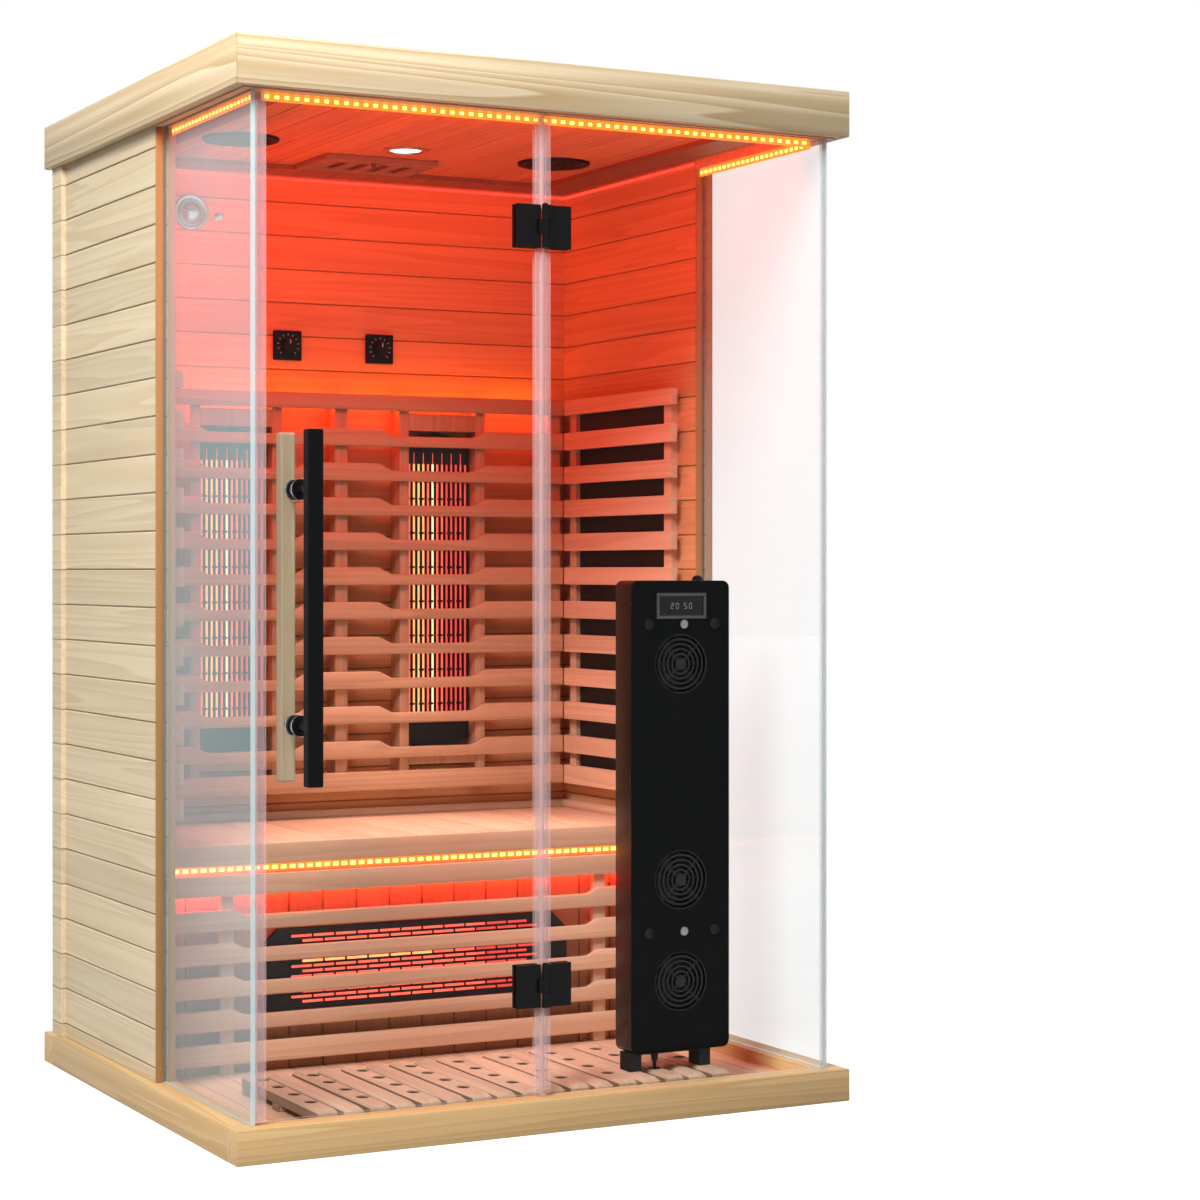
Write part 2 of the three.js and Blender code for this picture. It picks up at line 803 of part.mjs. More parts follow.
function wallLamp() {
  const rimRadius = lampDomeRadius + lampDomeGap;
  const profile = [
    [0, -fit],
    [lampRingRadius, -fit],
    [lampRingRadius, -lampRingThickness + lampEdge],
    [lampRingRadius - lampEdge, -lampRingThickness],
    [rimRadius, -lampRingThickness],
    [lampDomeRadius, -lampRingThickness + lampEdge],
  ];
  const steps = 4;
  for (let i = 1; i <= steps; i += 1) {
    const angle = (i / steps) * Math.PI / 2;
    const rise = lampDomeHeight * Math.sin(angle);
    profile.push([lampDomeRadius * Math.cos(angle), -lampRingThickness - rise]);
  }
  profile[profile.length - 1][0] = 0;
  return turnedY(profile, fineSides);
}

// Glass, seals and the right corner

function sideGlass(side) {
  return box(
    side * (sideGlassX - glassThickness / 2), side * (sideGlassX + glassThickness / 2),
    glassFrontY, wallFrontY + glazingGrooveDepth - fit,
    baseHeight + fit, glassTopZ,
  );
}

// The notch in a pane's edge for one hinge leaf, which is on the side given.
function hingeNotch(side, hingeZ) {
  const depth = hingePlateStart + hingeWebWidth + fit;
  const half = hingeWebHeight / 2 + fit;
  const inner = paneSplitX + side * depth;
  return box(paneSplitX, inner, glassFrontY - 1, glassBackY + 1, hingeZ - half, hingeZ + half);
}

function frontGlass() {
  const rightX = sideGlassInnerX - fit;
  const pane = box(fixedLeftX, rightX, glassFrontY, glassBackY, baseHeight + fit, glassTopZ);
  return cut(pane, [hingeNotch(1, upperHingeZ), hingeNotch(1, lowerHingeZ)]);
}

function doorGlass() {
  const pane = box(doorLeftX, doorRightX, glassFrontY, glassBackY, doorBottomZ, doorTopZ);
  const holes = [-1, 1].map((end) => (
    rodY(handleNeckRadius + fit, glassFrontY - 1, glassBackY + 1, coarseSides)
      .translate(handleX, 0, handleZ + end * handleStudSpacing / 2)
  ));
  return cut(pane, [hingeNotch(-1, upperHingeZ), hingeNotch(-1, lowerHingeZ), ...holes]);
}

// A channel pushed over a pane's vertical edge, from its outer face over the glass edge to the lips' ends.
function edgeChannel(web, edge, end, z0, z1) {
  const inner = glassThickness / 2 + fit;
  const outer = inner + sealLip;
  const toGlass = Math.sign(edge - web);
  const slot = edge - toGlass * fit;
  return alongZ(outlineOf([
    [web, frontGlassY - outer],
    [end, frontGlassY - outer],
    [end, frontGlassY - inner],
    [slot, frontGlassY - inner],
    [slot, frontGlassY + inner],
    [end, frontGlassY + inner],
    [end, frontGlassY + outer],
    [web, frontGlassY + outer],
  ]), z0, z1);
}

function doorSeal() {
  return edgeChannel(doorSealX, doorLeftX, doorLeftX + sealCover, doorBottomZ, doorTopZ);
}

function gapSeal() {
  const web = doorRightX + gapSealDoorGap;
  return edgeChannel(web, fixedLeftX, fixedLeftX + gapSealCover, baseHeight + fit, headerBottomZ - fit);
}

// The angle strip over the joint between the fixed pane and the right side pane.
function cornerProfile() {
  const x = sideGlassX + glassThickness / 2 + fit;
  const y = glassFrontY - fit;
  const leg = cornerProfileLeg;
  const wall = cornerProfileWall;
  return alongZ(outlineOf([
    [x - leg, y - wall],
    [x + wall, y - wall],
    [x + wall, y + leg],
    [x, y + leg],
    [x, y],
    [x - leg, y],
  ]), baseHeight + fit, headerBottomZ - fit);
}

// Hinges, drawn about the split between the panes, with the glass's middle at y = 0

function hingeKnuckle(z0, z1, side) {
  const tab = box(
    0, side * (hingePlateStart + hingeTabOverlap),
    -hingeAxisOffset - hingePinRadius, -hingeAxisOffset - hingePinRadius + hingeTabDepth,
    z0, z1,
  );
  return [rodZ(hingeKnuckleRadius, z0, z1, coarseSides).translate(0, -hingeAxisOffset, 0), tab];
}

function hingeLeaf(side, knuckles) {
  const near = glassThickness / 2 + fit;
  const far = near + hingePlateThickness;
  const start = side * hingePlateStart;
  const end = side * (hingePlateStart + hingePlateWidth);
  const half = hingeHeight / 2;
  const pieces = [
    box(start, end, -far, -near, -half, half),
    box(start, end, near, far, -half, half),
    box(start, start + side * hingeWebWidth, -near - 1, near + 1, -hingeWebHeight / 2, hingeWebHeight / 2),
  ];
  for (const [z0, z1] of knuckles) pieces.push(...hingeKnuckle(z0, z1, side));
  const bore = rodZ(hingePinRadius + fit, -half - 1, half + 1, coarseSides);
  return cut(join(pieces), [bore.translate(0, -hingeAxisOffset, 0)]);
}

function hingePin() {
  const half = hingeHeight / 2;
  const head = hingePinHeadRadius;
  return turnedZ([
    [0, -half],
    [hingePinRadius, -half],
    [hingePinRadius, half + fit],
    [head, half + fit],
    [head, half + fit + hingePinHead],
    [0, half + fit + hingePinHead],
  ], coarseSides).translate(0, -hingeAxisOffset, 0);
}

function addHinge(parent, name, z) {
  const hinge = groupAt(parent, paneSplitX, frontGlassY, z);
  const half = hingeHeight / 2;
  const third = hingeHeight / 6;
  add(hinge, `${name}_hinge_door_leaf`, hingeLeaf(-1, [[-third + fit, third - fit]]), blackMetal);
  add(hinge, `${name}_hinge_fixed_leaf`, hingeLeaf(1, [[-half, -third], [third, half]]), blackMetal);
  add(hinge, `${name}_hinge_pin`, hingePin(), blackMetal);
}

// Handle, drawn about its own middle, with the glass's middle at y = 0

function handleBar(face, reach) {
  const y0 = face * (glassThickness / 2 + reach);
  const y1 = y0 + face * handleBarDepth;
  const half = handleLength / 2;
  return box(-handleBarWidth / 2, handleBarWidth / 2, y0, y1, -half, half);
}

function handleStud() {
  const near = glassThickness / 2 + fit;
  const collar = near + handleCollarThickness;
  return turnedY([
    [0, -glassThickness / 2 - handleOuterReach + fit],
    [handleStudRadius, -glassThickness / 2 - handleOuterReach + fit],
    [handleStudRadius, -collar],
    [handleCollarRadius, -collar],
    [handleCollarRadius, -near],
    [handleNeckRadius, -near],
    [handleNeckRadius, near],
    [handleCollarRadius, near],
    [handleCollarRadius, collar],
    [handleStudRadius, collar],
    [handleStudRadius, glassThickness / 2 + handleInnerReach - fit],
    [0, glassThickness / 2 + handleInnerReach - fit],
  ], coarseSides);
}

// Bench

function benchSeat() {
  const half = wallInnerX - fit;
  const rear = backWallY - fit;
  const bottom = benchTopZ - benchBoardThickness;
  const top = boardedFace(-half, half, -half + benchBoardPitch, benchBoardPitch, benchTopZ, -grooveDepth);
  const boards = alongY(outlineOf([[-half, bottom], ...top, [half, bottom]].reverse()), benchFrontY, rear);
  const nosing = box(
    -half, half,
    benchFrontY, benchFrontY + benchNosingThickness,
    benchTopZ - benchNosingHeight, bottom + 1,
  );
  const ledgerY = rear - benchLedgerThickness;
  const ledger = box(-half, half, ledgerY, rear, bottom - benchLedgerHeight, bottom + 1);
  const pieces = [boards, nosing, ledger];
  const trimBottom = benchTopZ - grooveDepth - 1;
  const trimTop = benchTopZ + benchTrimSize;
  pieces.push(box(-half, half, rear - benchTrimSize, rear, trimBottom, trimTop));
  for (const side of [-1, 1]) {
    pieces.push(box(side * (half - benchTrimSize), side * half, benchFrontY, rear, trimBottom, trimTop));
  }
  return join(pieces);
}

function benchKickboard() {
  const half = benchSideX;
  const face = boardedFace(-half, half, -half + boardPitch, boardPitch, benchKickY, grooveDepth);
  const rear = benchKickY + benchKickThickness;
  const outline = outlineOf([...face, [half, rear], [-half, rear]]);
  return alongZ(outline, floorTopZ + fit, benchTopZ - benchBoardThickness - fit);
}

function benchGuard() {
  const half = benchSideX;
  const rear = benchFrontY + benchGuardThickness;
  const pieces = [
    box(-half, half, benchFrontY, rear, benchRailTopZ - benchRailHeight, benchRailTopZ),
    box(-half, half, benchFrontY, rear, benchBottomRailZ, benchBottomRailZ + benchRailHeight),
  ];
  for (let i = 0; i < benchSlatCount; i += 1) {
    const bottom = benchSlatTopZ - benchSlatHeight - i * benchSlatPitch;
    const dip = { depth: benchDipDepth, flat: benchDipFlat, ramp: benchDipRamp };
    const slat = dippedSlat(-half, half, bottom, benchSlatHeight, [0], dip);
    pieces.push(alongY(slat, benchFrontY, rear));
  }
  const uprightTop = benchTopZ - benchNosingHeight - fit;
  const endX = half - benchUprightWidth / 2;
  for (const x of [-endX, -benchUprightX, benchUprightX, endX]) {
    pieces.push(box(
      x - benchUprightWidth / 2, x + benchUprightWidth / 2,
      rear - 1, benchKickY - fit,
      floorTopZ + fit, uprightTop,
    ));
  }
  return join(pieces);
}

function benchHeater() {
  const half = benchHeaterWidth / 2;
  const low = benchHeaterZ - benchHeaterHeight / 2;
  const high = benchHeaterZ + benchHeaterHeight / 2;
  const bevel = benchHeaterBevel;
  const rear = benchKickY - fit;
  const front = rear - benchHeaterThickness;
  const plate = alongY(outlineOf([
    [-half, low],
    [half, low],
    [half, high - bevel],
    [half - bevel, high],
    [-half + bevel, high],
    [-half, high - bevel],
  ]), front, rear);
  const rows = [];
  for (let i = 0; i < benchHeaterRowCount; i += 1) {
    const z = benchHeaterZ + (i - (benchHeaterRowCount - 1) / 2) * benchHeaterRowPitch;
    rows.push(box(
      -benchHeaterRowLength / 2, benchHeaterRowLength / 2,
      front - heaterRodSize / 2, front + 1,
      z - heaterRodSize / 2, z + heaterRodSize / 2,
    ));
  }
  return join([plate, ...rows]);
}

// Guards in front of the wall heaters

function guardRows() {
  const rows = [[guardRailTopZ - guardRailHeight, guardRailHeight]];
  for (let i = 0; i < guardSlatCount; i += 1) {
    rows.push([guardSlatTopZ - i * guardSlatPitch - guardSlatHeight, guardSlatHeight]);
  }
  rows.push([guardBottomRailZ, guardBottomRailHeight]);
  return rows;
}

function backrestGuard() {
  const half = sideGuardX - fit;
  const rear = backGuardY + guardThickness;
  const wall = backWallY - fit;
  const pieces = guardRows().map(([bottom, height], row, rows) => {
    const plain = row === 0 || row === rows.length - 1;
    const dips = plain ? [] : [-backDipX, backDipX];
    const dip = { depth: backDipDepth, flat: backDipFlat, ramp: backDipRamp };
    return alongY(dippedSlat(-half, half, bottom, height, dips, dip), backGuardY, rear);
  });
  const upright = (x0, x1) => box(x0, x1, rear - 1, wall, guardBottomRailZ, guardRailTopZ);
  pieces.push(upright(-guardUprightWidth / 2, guardUprightWidth / 2));
  const boxInner = backHeaterWidth / 2 + heaterBoxClearance;
  const boxOuter = boxInner + heaterBoxWall;
  for (const side of [-1, 1]) {
    const x = side * backHeaterX;
    pieces.push(upright(side * (half - guardUprightWidth), side * half));
    pieces.push(upright(x - boxOuter, x - boxInner));
    pieces.push(upright(x + boxInner, x + boxOuter));
    const top = backHeaterTopZ + heaterBoxClearance;
    const bottom = backHeaterBottomZ - heaterBoxClearance;
    pieces.push(box(x - boxOuter, x + boxOuter, rear - 1, wall, top, top + heaterBoxEnd));
    pieces.push(box(x - boxOuter, x + boxOuter, rear - 1, wall, bottom - heaterBoxEnd, bottom));
  }
  return join(pieces);
}

function backHeater(side) {
  const half = backHeaterWidth / 2;
  const shoulder = backHeaterTopZ - backHeaterArch;
  const radius = (half * half + backHeaterArch * backHeaterArch) / (2 * backHeaterArch);
  const reach = Math.asin(half / radius);
  const shape = new THREE.Shape();
  shape.moveTo(-half + backHeaterCorner, backHeaterBottomZ);
  shape.lineTo(half - backHeaterCorner, backHeaterBottomZ);
  shape.lineTo(half, backHeaterBottomZ + backHeaterCorner / 2);
  shape.lineTo(half, shoulder);
  shape.absarc(0, backHeaterTopZ - radius, radius, Math.PI / 2 - reach, Math.PI / 2 + reach);
  shape.lineTo(-half, backHeaterBottomZ + backHeaterCorner / 2);
  const rear = backWallY - fit;
  const front = rear - backHeaterThickness;
  const pieces = [alongY(shape, front, rear)];
  for (let i = 0; i < heaterRodCount; i += 1) {
    const x = (i - (heaterRodCount - 1) / 2) * heaterRodPitch;
    pieces.push(box(
      x - heaterRodSize / 2, x + heaterRodSize / 2,
      front - heaterRodSize / 2, front + 1,
      backHeaterBottomZ + heaterRodMargin, backHeaterTopZ - heaterRodMargin,
    ));
  }
  return join(pieces).translate(side * backHeaterX, 0, 0);
}

function sideGuard(side) {
  const rear = backGuardY - fit;
  const front = rear - sideGuardLength;
  const face = side * sideGuardX;
  const back = side * (sideGuardX + guardThickness);
  const slat = (bottom, height) => box(face, back, front, rear, bottom, bottom + height);
  const pieces = guardRows().map(([bottom, height]) => slat(bottom, height));
  const upright = (y0) => box(
    back - side, side * (wallInnerX - fit),
    y0, y0 + guardUprightWidth,
    guardBottomRailZ, guardRailTopZ,
  );
  pieces.push(upright(front + sideUprightInset));
  pieces.push(upright(rear - guardUprightWidth));
  return join(pieces);
}

function sideHeater(side) {
  const rear = backGuardY - fit - sideHeaterRearInset;
  const low = guardBottomRailZ + guardBottomRailHeight / 2;
  const high = guardRailTopZ - guardRailHeight / 2;
  const wall = wallInnerX - fit;
  return box(side * (wall - sideHeaterThickness), side * wall, rear - sideHeaterLength, rear, low, high);
}

// Red-light panel, drawn with its cover's face at y = 0 and its underside at z = 0

function panelCase() {
  const front = panelCoverThickness + fit;
  const outer = alongY(roundedPanel(panelWidth, panelHeight, panelCornerRadius), front, panelDepth);
  const bore = (wall, y0, y1) => alongY(
    roundedPanel(panelWidth - 2 * wall, panelHeight - 2 * wall, panelCornerRadius - wall / 2),
    y0, y1,
  ).translate(0, 0, wall);
  const room = bore(panelWall, front - 1, panelDepth - panelLipThickness);
  const window = bore(panelWall + panelLip, front, panelDepth + 1);
  return cut(outer, [room, window]);
}

function panelLedPlate() {
  const wall = panelWall + fit;
  const shape = roundedPanel(panelWidth - 2 * wall, panelHeight - 2 * wall, panelCornerRadius - wall / 2);
  const rear = panelDepth - panelLipThickness - fit;
  return alongY(shape, rear - ledPlateThickness, rear).translate(0, 0, wall);
}

function grilleSlots(z) {
  const slots = [];
  const spare = (radius) => Math.asin(grilleSpokeWidth / 2 / radius);
  for (let quarter = 0; quarter < 4; quarter += 1) {
    const start = quarter * Math.PI / 2;
    const end = start + Math.PI / 2;
    const outer = spare(grilleOuterRadius);
    const inner = spare(grilleInnerRadius);
    const shape = new THREE.Shape();
    shape.absarc(0, 0, grilleOuterRadius, start + outer, end - outer);
    shape.absarc(0, 0, grilleInnerRadius, end - inner, start + inner, true);
    slots.push(alongY(shape, -1, panelCoverThickness + 1).translate(0, 0, z));
  }
  return slots;
}

function panelCover() {
  const plate = alongY(roundedPanel(panelWidth, panelHeight, panelCornerRadius), 0, panelCoverThickness);
  const holes = fanHeights.flatMap(grilleSlots);
  const extras = [];
  for (const z of fanHeights) {
    const end = panelCoverThickness + fanSetback + fanThickness;
    extras.push(rodY(fanPostRadius, panelCoverThickness - 1, end, coarseSides).translate(0, 0, z));
  }
  for (const z of buttonHeights) {
    const hole = rodY(buttonRadius + fit, -1, panelCoverThickness + 1, coarseSides);
    holes.push(hole.translate(buttonX, 0, z));
    for (const side of [-1, 1]) {
      extras.push(rodY(bossRadius, -bossReach, 1, coarseSides).translate(side * bossSpacing / 2, 0, z));
    }
  }
  const halfX = displayWidth / 2;
  const halfZ = displayHeight / 2;
  const bezel = box(-halfX, halfX, -displayProud, 1, displayZ - halfZ, displayZ + halfZ);
  const window = box(
    -halfX + displayBorder, halfX - displayBorder,
    -displayProud - 1, -displayProud / 3,
    displayZ - halfZ + displayBorder, displayZ + halfZ - displayBorder,
  );
  return join([cut(plate, holes), cut(bezel, [window]), ...extras]);
}

function panelFan() {
  const y0 = panelCoverThickness + fanSetback;
  const y1 = y0 + fanThickness;
  const pieces = [rodY(fanHubRadius, y0, y1, coarseSides)];
  const bladeLength = fanRadius - fanHubRadius + fanBladeRoot;
  for (let i = 0; i < fanBladeCount; i += 1) {
    const blade = new THREE.BoxGeometry(bladeLength, fanBladeThickness, fanThickness);
    blade.rotateX(fanBladePitch);
    blade.translate(fanRadius - bladeLength / 2, (y0 + y1) / 2, 0);
    pieces.push(blade.rotateY(i * 2 * Math.PI / fanBladeCount));
  }
  return cut(join(pieces), [rodY(fanPostRadius + fit, y0 - 1, y1 + 1, coarseSides)]);
}

function panelButton() {
  const flange = panelCoverThickness + fit;
  return turnedY([
    [0, -buttonProud],
    [buttonRadius - 1, -buttonProud],
    [buttonRadius, -buttonProud + 1],
    [buttonRadius, flange],
    [buttonRadius + buttonFlange, flange],
    [buttonRadius + buttonFlange, flange + buttonFlange],
    [0, flange + buttonFlange],
  ], coarseSides);
}

function panelStand() {
  const middle = panelDepth / 2;
  const y0 = middle - panelFootDepth / 2;
  const y1 = middle + panelFootDepth / 2;
  const feet = footSlats.map((slat) => slatCentre(slat) - panelX);
  const half = panelFootWidth / 2;
  const ends = [Math.min(...feet) - half, Math.max(...feet) + half];
  const pieces = [box(ends[0], ends[1], y0, y1, -panelFootPlate, -fit)];
  for (const x of feet) {
    pieces.push(box(x - half, x + half, y0, y1, -panelFootHeight + fit, -panelFootPlate + 1));
  }
  const gland = rodZ(glandRadius + fit, -panelFootHeight, 1, coarseSides);
  return cut(join(pieces), [gland.translate(-panelLeadOffset, panelLeadSetback, 0)]);
}

function panelLead() {
  const floor = floorTopZ + fit - panelZ;
  return turnedZ([
    [0, floor],
    [leadRadius, floor],
    [leadRadius, -glandLength],
    [glandTipRadius, -glandLength],
    [glandRadius, -panelFootPlate],
    [glandRadius, -fit],
    [0, -fit],
  ], coarseSides);
}

// Assembly

const cabin = new THREE.Group();

add(cabin, 'base_tray', baseTray(), oakWood);
add(cabin, 'floor_panel', floorPanel(), innerWood);
add(cabin, 'duckboard', duckboard(), innerWood);

add(cabin, 'left_wall', sideWall(-1), paleWood);
add(cabin, 'right_wall', sideWall(1), paleWood);
add(cabin, 'back_wall', backWall(), paleWood);

add(cabin, 'roof_fascia', roofFascia(), paleWood);
add(cabin, 'ceiling_panel', ceilingPanel(), innerWood);
add(cabin, 'roof_cover', roofCover(), plywood);
add(cabin, 'canopy_header', canopyHeader(), innerWood);
add(cabin, 'power_box', powerBox(), blackPlastic);

const ceiling = groupAt(cabin, 0, 0, ceilingZ);
add(ceiling, 'left_speaker', speaker(), blackPlastic).position.set(-speakerX, speakerY, 0);
add(ceiling, 'right_speaker', speaker(), blackPlastic).position.set(speakerX, speakerY, 0);
add(ceiling, 'downlight', downlight(), steel).position.set(0, downlightY, 0);
const vent = groupAt(ceiling, 0, ventY, 0);
add(vent, 'vent_frame', ventFrame(), innerWood);
add(vent, 'vent_slider', ventSlider(), innerWood);

const backFace = groupAt(cabin, 0, backWallY, 0);
for (const [name, side] of [['left', -1], ['right', 1]]) {
  const dial = groupAt(backFace, side * dialSpacing / 2, 0, dialZ);
  add(dial, `${name}_dial_plate`, dialPlate(), blackPlastic);
  add(dial, `${name}_dial_knob`, dialKnob(), blackPlastic);
}
add(backFace, 'wall_lamp', wallLamp(), steel).position.set(lampX, 0, lampZ);

add(cabin, 'left_glass', sideGlass(-1), clearGlass);
add(cabin, 'right_glass', sideGlass(1), clearGlass);
add(cabin, 'front_glass', frontGlass(), clearGlass);
add(cabin, 'door_glass', doorGlass(), clearGlass);
add(cabin, 'door_seal', doorSeal(), sealClear);
add(cabin, 'gap_seal', gapSeal(), sealClear);
add(cabin, 'corner_profile', cornerProfile(), sealClear);
addHinge(cabin, 'upper', upperHingeZ);
addHinge(cabin, 'lower', lowerHingeZ);

const handle = groupAt(cabin, handleX, frontGlassY, handleZ);
add(handle, 'outer_handle', handleBar(-1, handleOuterReach), blackMetal);
add(handle, 'inner_handle', handleBar(1, handleInnerReach), paleWood);
add(handle, 'upper_handle_stud', handleStud(), blackMetal).position.set(0, 0, handleStudSpacing / 2);
add(handle, 'lower_handle_stud', handleStud(), blackMetal).position.set(0, 0, -handleStudSpacing / 2);

add(cabin, 'bench_seat', benchSeat(), innerWood);
add(cabin, 'bench_kickboard', benchKickboard(), innerWood);
add(cabin, 'bench_guard', benchGuard(), innerWood);
add(cabin, 'bench_heater', benchHeater(), heaterBlack);

add(cabin, 'backrest_guard', backrestGuard(), innerWood);
for (const [name, side] of [['left', -1], ['right', 1]]) {
  add(cabin, `${name}_back_heater`, backHeater(side), heaterBlack);
  add(cabin, `${name}_side_guard`, sideGuard(side), innerWood);
  add(cabin, `${name}_side_heater`, sideHeater(side), heaterBlack);
}

const panel = groupAt(cabin, panelX, panelY, panelZ);
add(panel, 'panel_case', panelCase(), blackMetal);
add(panel, 'panel_cover', panelCover(), blackMetal);
add(panel, 'panel_led_plate', panelLedPlate(), ledRed);
['upper', 'middle', 'lower'].forEach((name, i) => {
  add(panel, `panel_fan_${name}`, panelFan(), blackPlastic).position.set(0, 0, fanHeights[i]);
});
['upper', 'lower'].forEach((name, i) => {
  add(panel, `panel_button_${name}`, panelButton(), steel).position.set(buttonX, 0, buttonHeights[i]);
});
add(panel, 'panel_stand', panelStand(), rubber);
add(panel, 'panel_lead', panelLead(), rubber).position.set(-panelLeadOffset, panelLeadSetback, 0);

export default cabin;
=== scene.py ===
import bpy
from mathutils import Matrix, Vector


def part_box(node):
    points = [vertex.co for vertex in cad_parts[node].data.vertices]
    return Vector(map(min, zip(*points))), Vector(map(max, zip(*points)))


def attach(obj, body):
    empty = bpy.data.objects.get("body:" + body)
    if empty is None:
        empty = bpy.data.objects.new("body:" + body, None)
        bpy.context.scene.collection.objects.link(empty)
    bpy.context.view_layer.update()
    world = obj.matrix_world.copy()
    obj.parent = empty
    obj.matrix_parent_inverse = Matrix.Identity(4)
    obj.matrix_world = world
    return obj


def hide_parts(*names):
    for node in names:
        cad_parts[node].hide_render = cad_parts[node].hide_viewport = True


bl_info = {
    "name": "Infrared sauna cabin",
    "version": (1, 0, 0),
    "blender": (4, 5, 0),
    "location": "View3D > Sidebar > Sauna",
    "description": "Dresses the frame of an infrared sauna cabin with boards, heaters, lights and glass",
    "category": "Add Mesh",
}

import functools
import math

import bmesh
import bpy
from bpy.props import FloatProperty, FloatVectorProperty, PointerProperty
from mathutils import Matrix, Vector

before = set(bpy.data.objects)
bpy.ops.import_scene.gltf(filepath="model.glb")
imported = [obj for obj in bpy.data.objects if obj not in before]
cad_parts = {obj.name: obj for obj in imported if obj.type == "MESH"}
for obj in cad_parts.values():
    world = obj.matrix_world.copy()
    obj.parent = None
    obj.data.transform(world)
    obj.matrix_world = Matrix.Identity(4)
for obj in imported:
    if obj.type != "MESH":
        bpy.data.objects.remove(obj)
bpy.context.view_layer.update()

X = Vector((1, 0, 0))
Y = Vector((0, 1, 0))
Z = Vector((0, 0, 1))
CABIN = "cabin"
DOOR = "door"
TOUCH = 0.0002  # between two boards that meet
ROOM = 0.0003  # between a fitting and what holds it


def length(text, value):
    return FloatProperty(name=text, description=text, default=value, unit="LENGTH", precision=4)


def colour(text, value):
    return FloatVectorProperty(
        name=text, description=text, default=value, subtype="COLOR", size=3, min=0.0, max=1.0
    )


def strength(text, value):
    return FloatProperty(name=text, description=text, default=value, min=0.0)


class SaunaSizes(bpy.types.PropertyGroup):
    """Sizes of the pieces that are modelled here, in metres."""

    board_edge: length("Rounding of the edges of boards and frames", 0.0012)
    slat_edge: length("Rounding of the edges of slats and rails", 0.0035)
    frame_edge: length("Rounding of the edges of the base and the roof", 0.0022)
    board_pitch: length("Height of one wall board", 0.0703)
    seam: length("Half of the gap between two boards", 0.0014)
    first_board: length("Height of the lowest wall board", 0.026)
    guard_slat_pitch: length("From one backrest slat to the next", 0.0734)
    guard_slat_height: length("Height of a backrest slat", 0.0375)
    guard_slat_top: length("Top of the highest backrest slat", 1.2988)
    guard_rail_height: length("Height of the rail on top of the backrest", 0.032)
    guard_foot_height: length("Height of the lowest rail of the backrest", 0.040)
    guard_depth: length("Thickness of a backrest slat", 0.016)
    guard_dip: length("Depth of the dips in front of the heaters", 0.015)
    guard_dip_place: length("From the middle to each dip", 0.205)
    guard_dip_flat: length("Flat length of each dip", 0.180)
    guard_dip_ramp: length("Length of the curve at each end of a dip", 0.040)
    guard_post: length("Width of the posts behind the slats", 0.028)
    heater_wall: length("Thickness of the boards round a heater", 0.022)
    heater_gap: length("Room between a heater and the boards round it", 0.002)
    heater_board: length("Height of the boards over and under a heater", 0.036)
    bench_slat_pitch: length("From one bench slat to the next", 0.0635)
    bench_slat_height: length("Height of a bench slat or rail", 0.040)
    bench_slat_top: length("Top of the highest bench slat", 0.352)
    bench_rail_top: length("Top of the rail under the bench light", 0.418)
    bench_guard_depth: length("Thickness of a bench slat", 0.014)
    bench_dip: length("Depth of the dip in front of the bench heater", 0.012)
    bench_dip_flat: length("Flat length of the dip", 0.730)
    bench_dip_ramp: length("Length of the curve at each end of the dip", 0.030)
    bench_board: length("Thickness of a bench board", 0.022)
    bench_board_pitch: length("From one bench board to the next", 0.092)
    bench_nosing: length("Height of the bench's front edge", 0.041)
    bench_strip: length("Height of the strips round the bench", 0.016)
    # Below this height the boards round the ceiling get the dark cove finish, which is painted shade.
    cove_shade: length("How far up the boards round the ceiling are dark", 0.010)
    seal_lip: length("Width of the clear strips along the hinge joint", 0.013)
    duck_slat: length("Width of a duckboard slat", 0.038)
    duck_pitch: length("From one duckboard slat to the next", 0.049)
    duck_thickness: length("Thickness of a duckboard slat", 0.022)
    duck_hole: length("Radius of the holes in the duckboard", 0.0125)
    duck_chamfer: length("Slope at the ends of the slats", 0.008)
    rod_radius: length("Radius of a glowing heater rod", 0.0021)
    rod_pitch: length("From one heater rod to the next", 0.011)
    lamp_pitch: length("From one small lamp of a light strip to the next", 0.0180)
    panel_corner: length("Radius of the light panel's corners", 0.014)
    grille_radius: length("Radius of the fan grilles", 0.055)


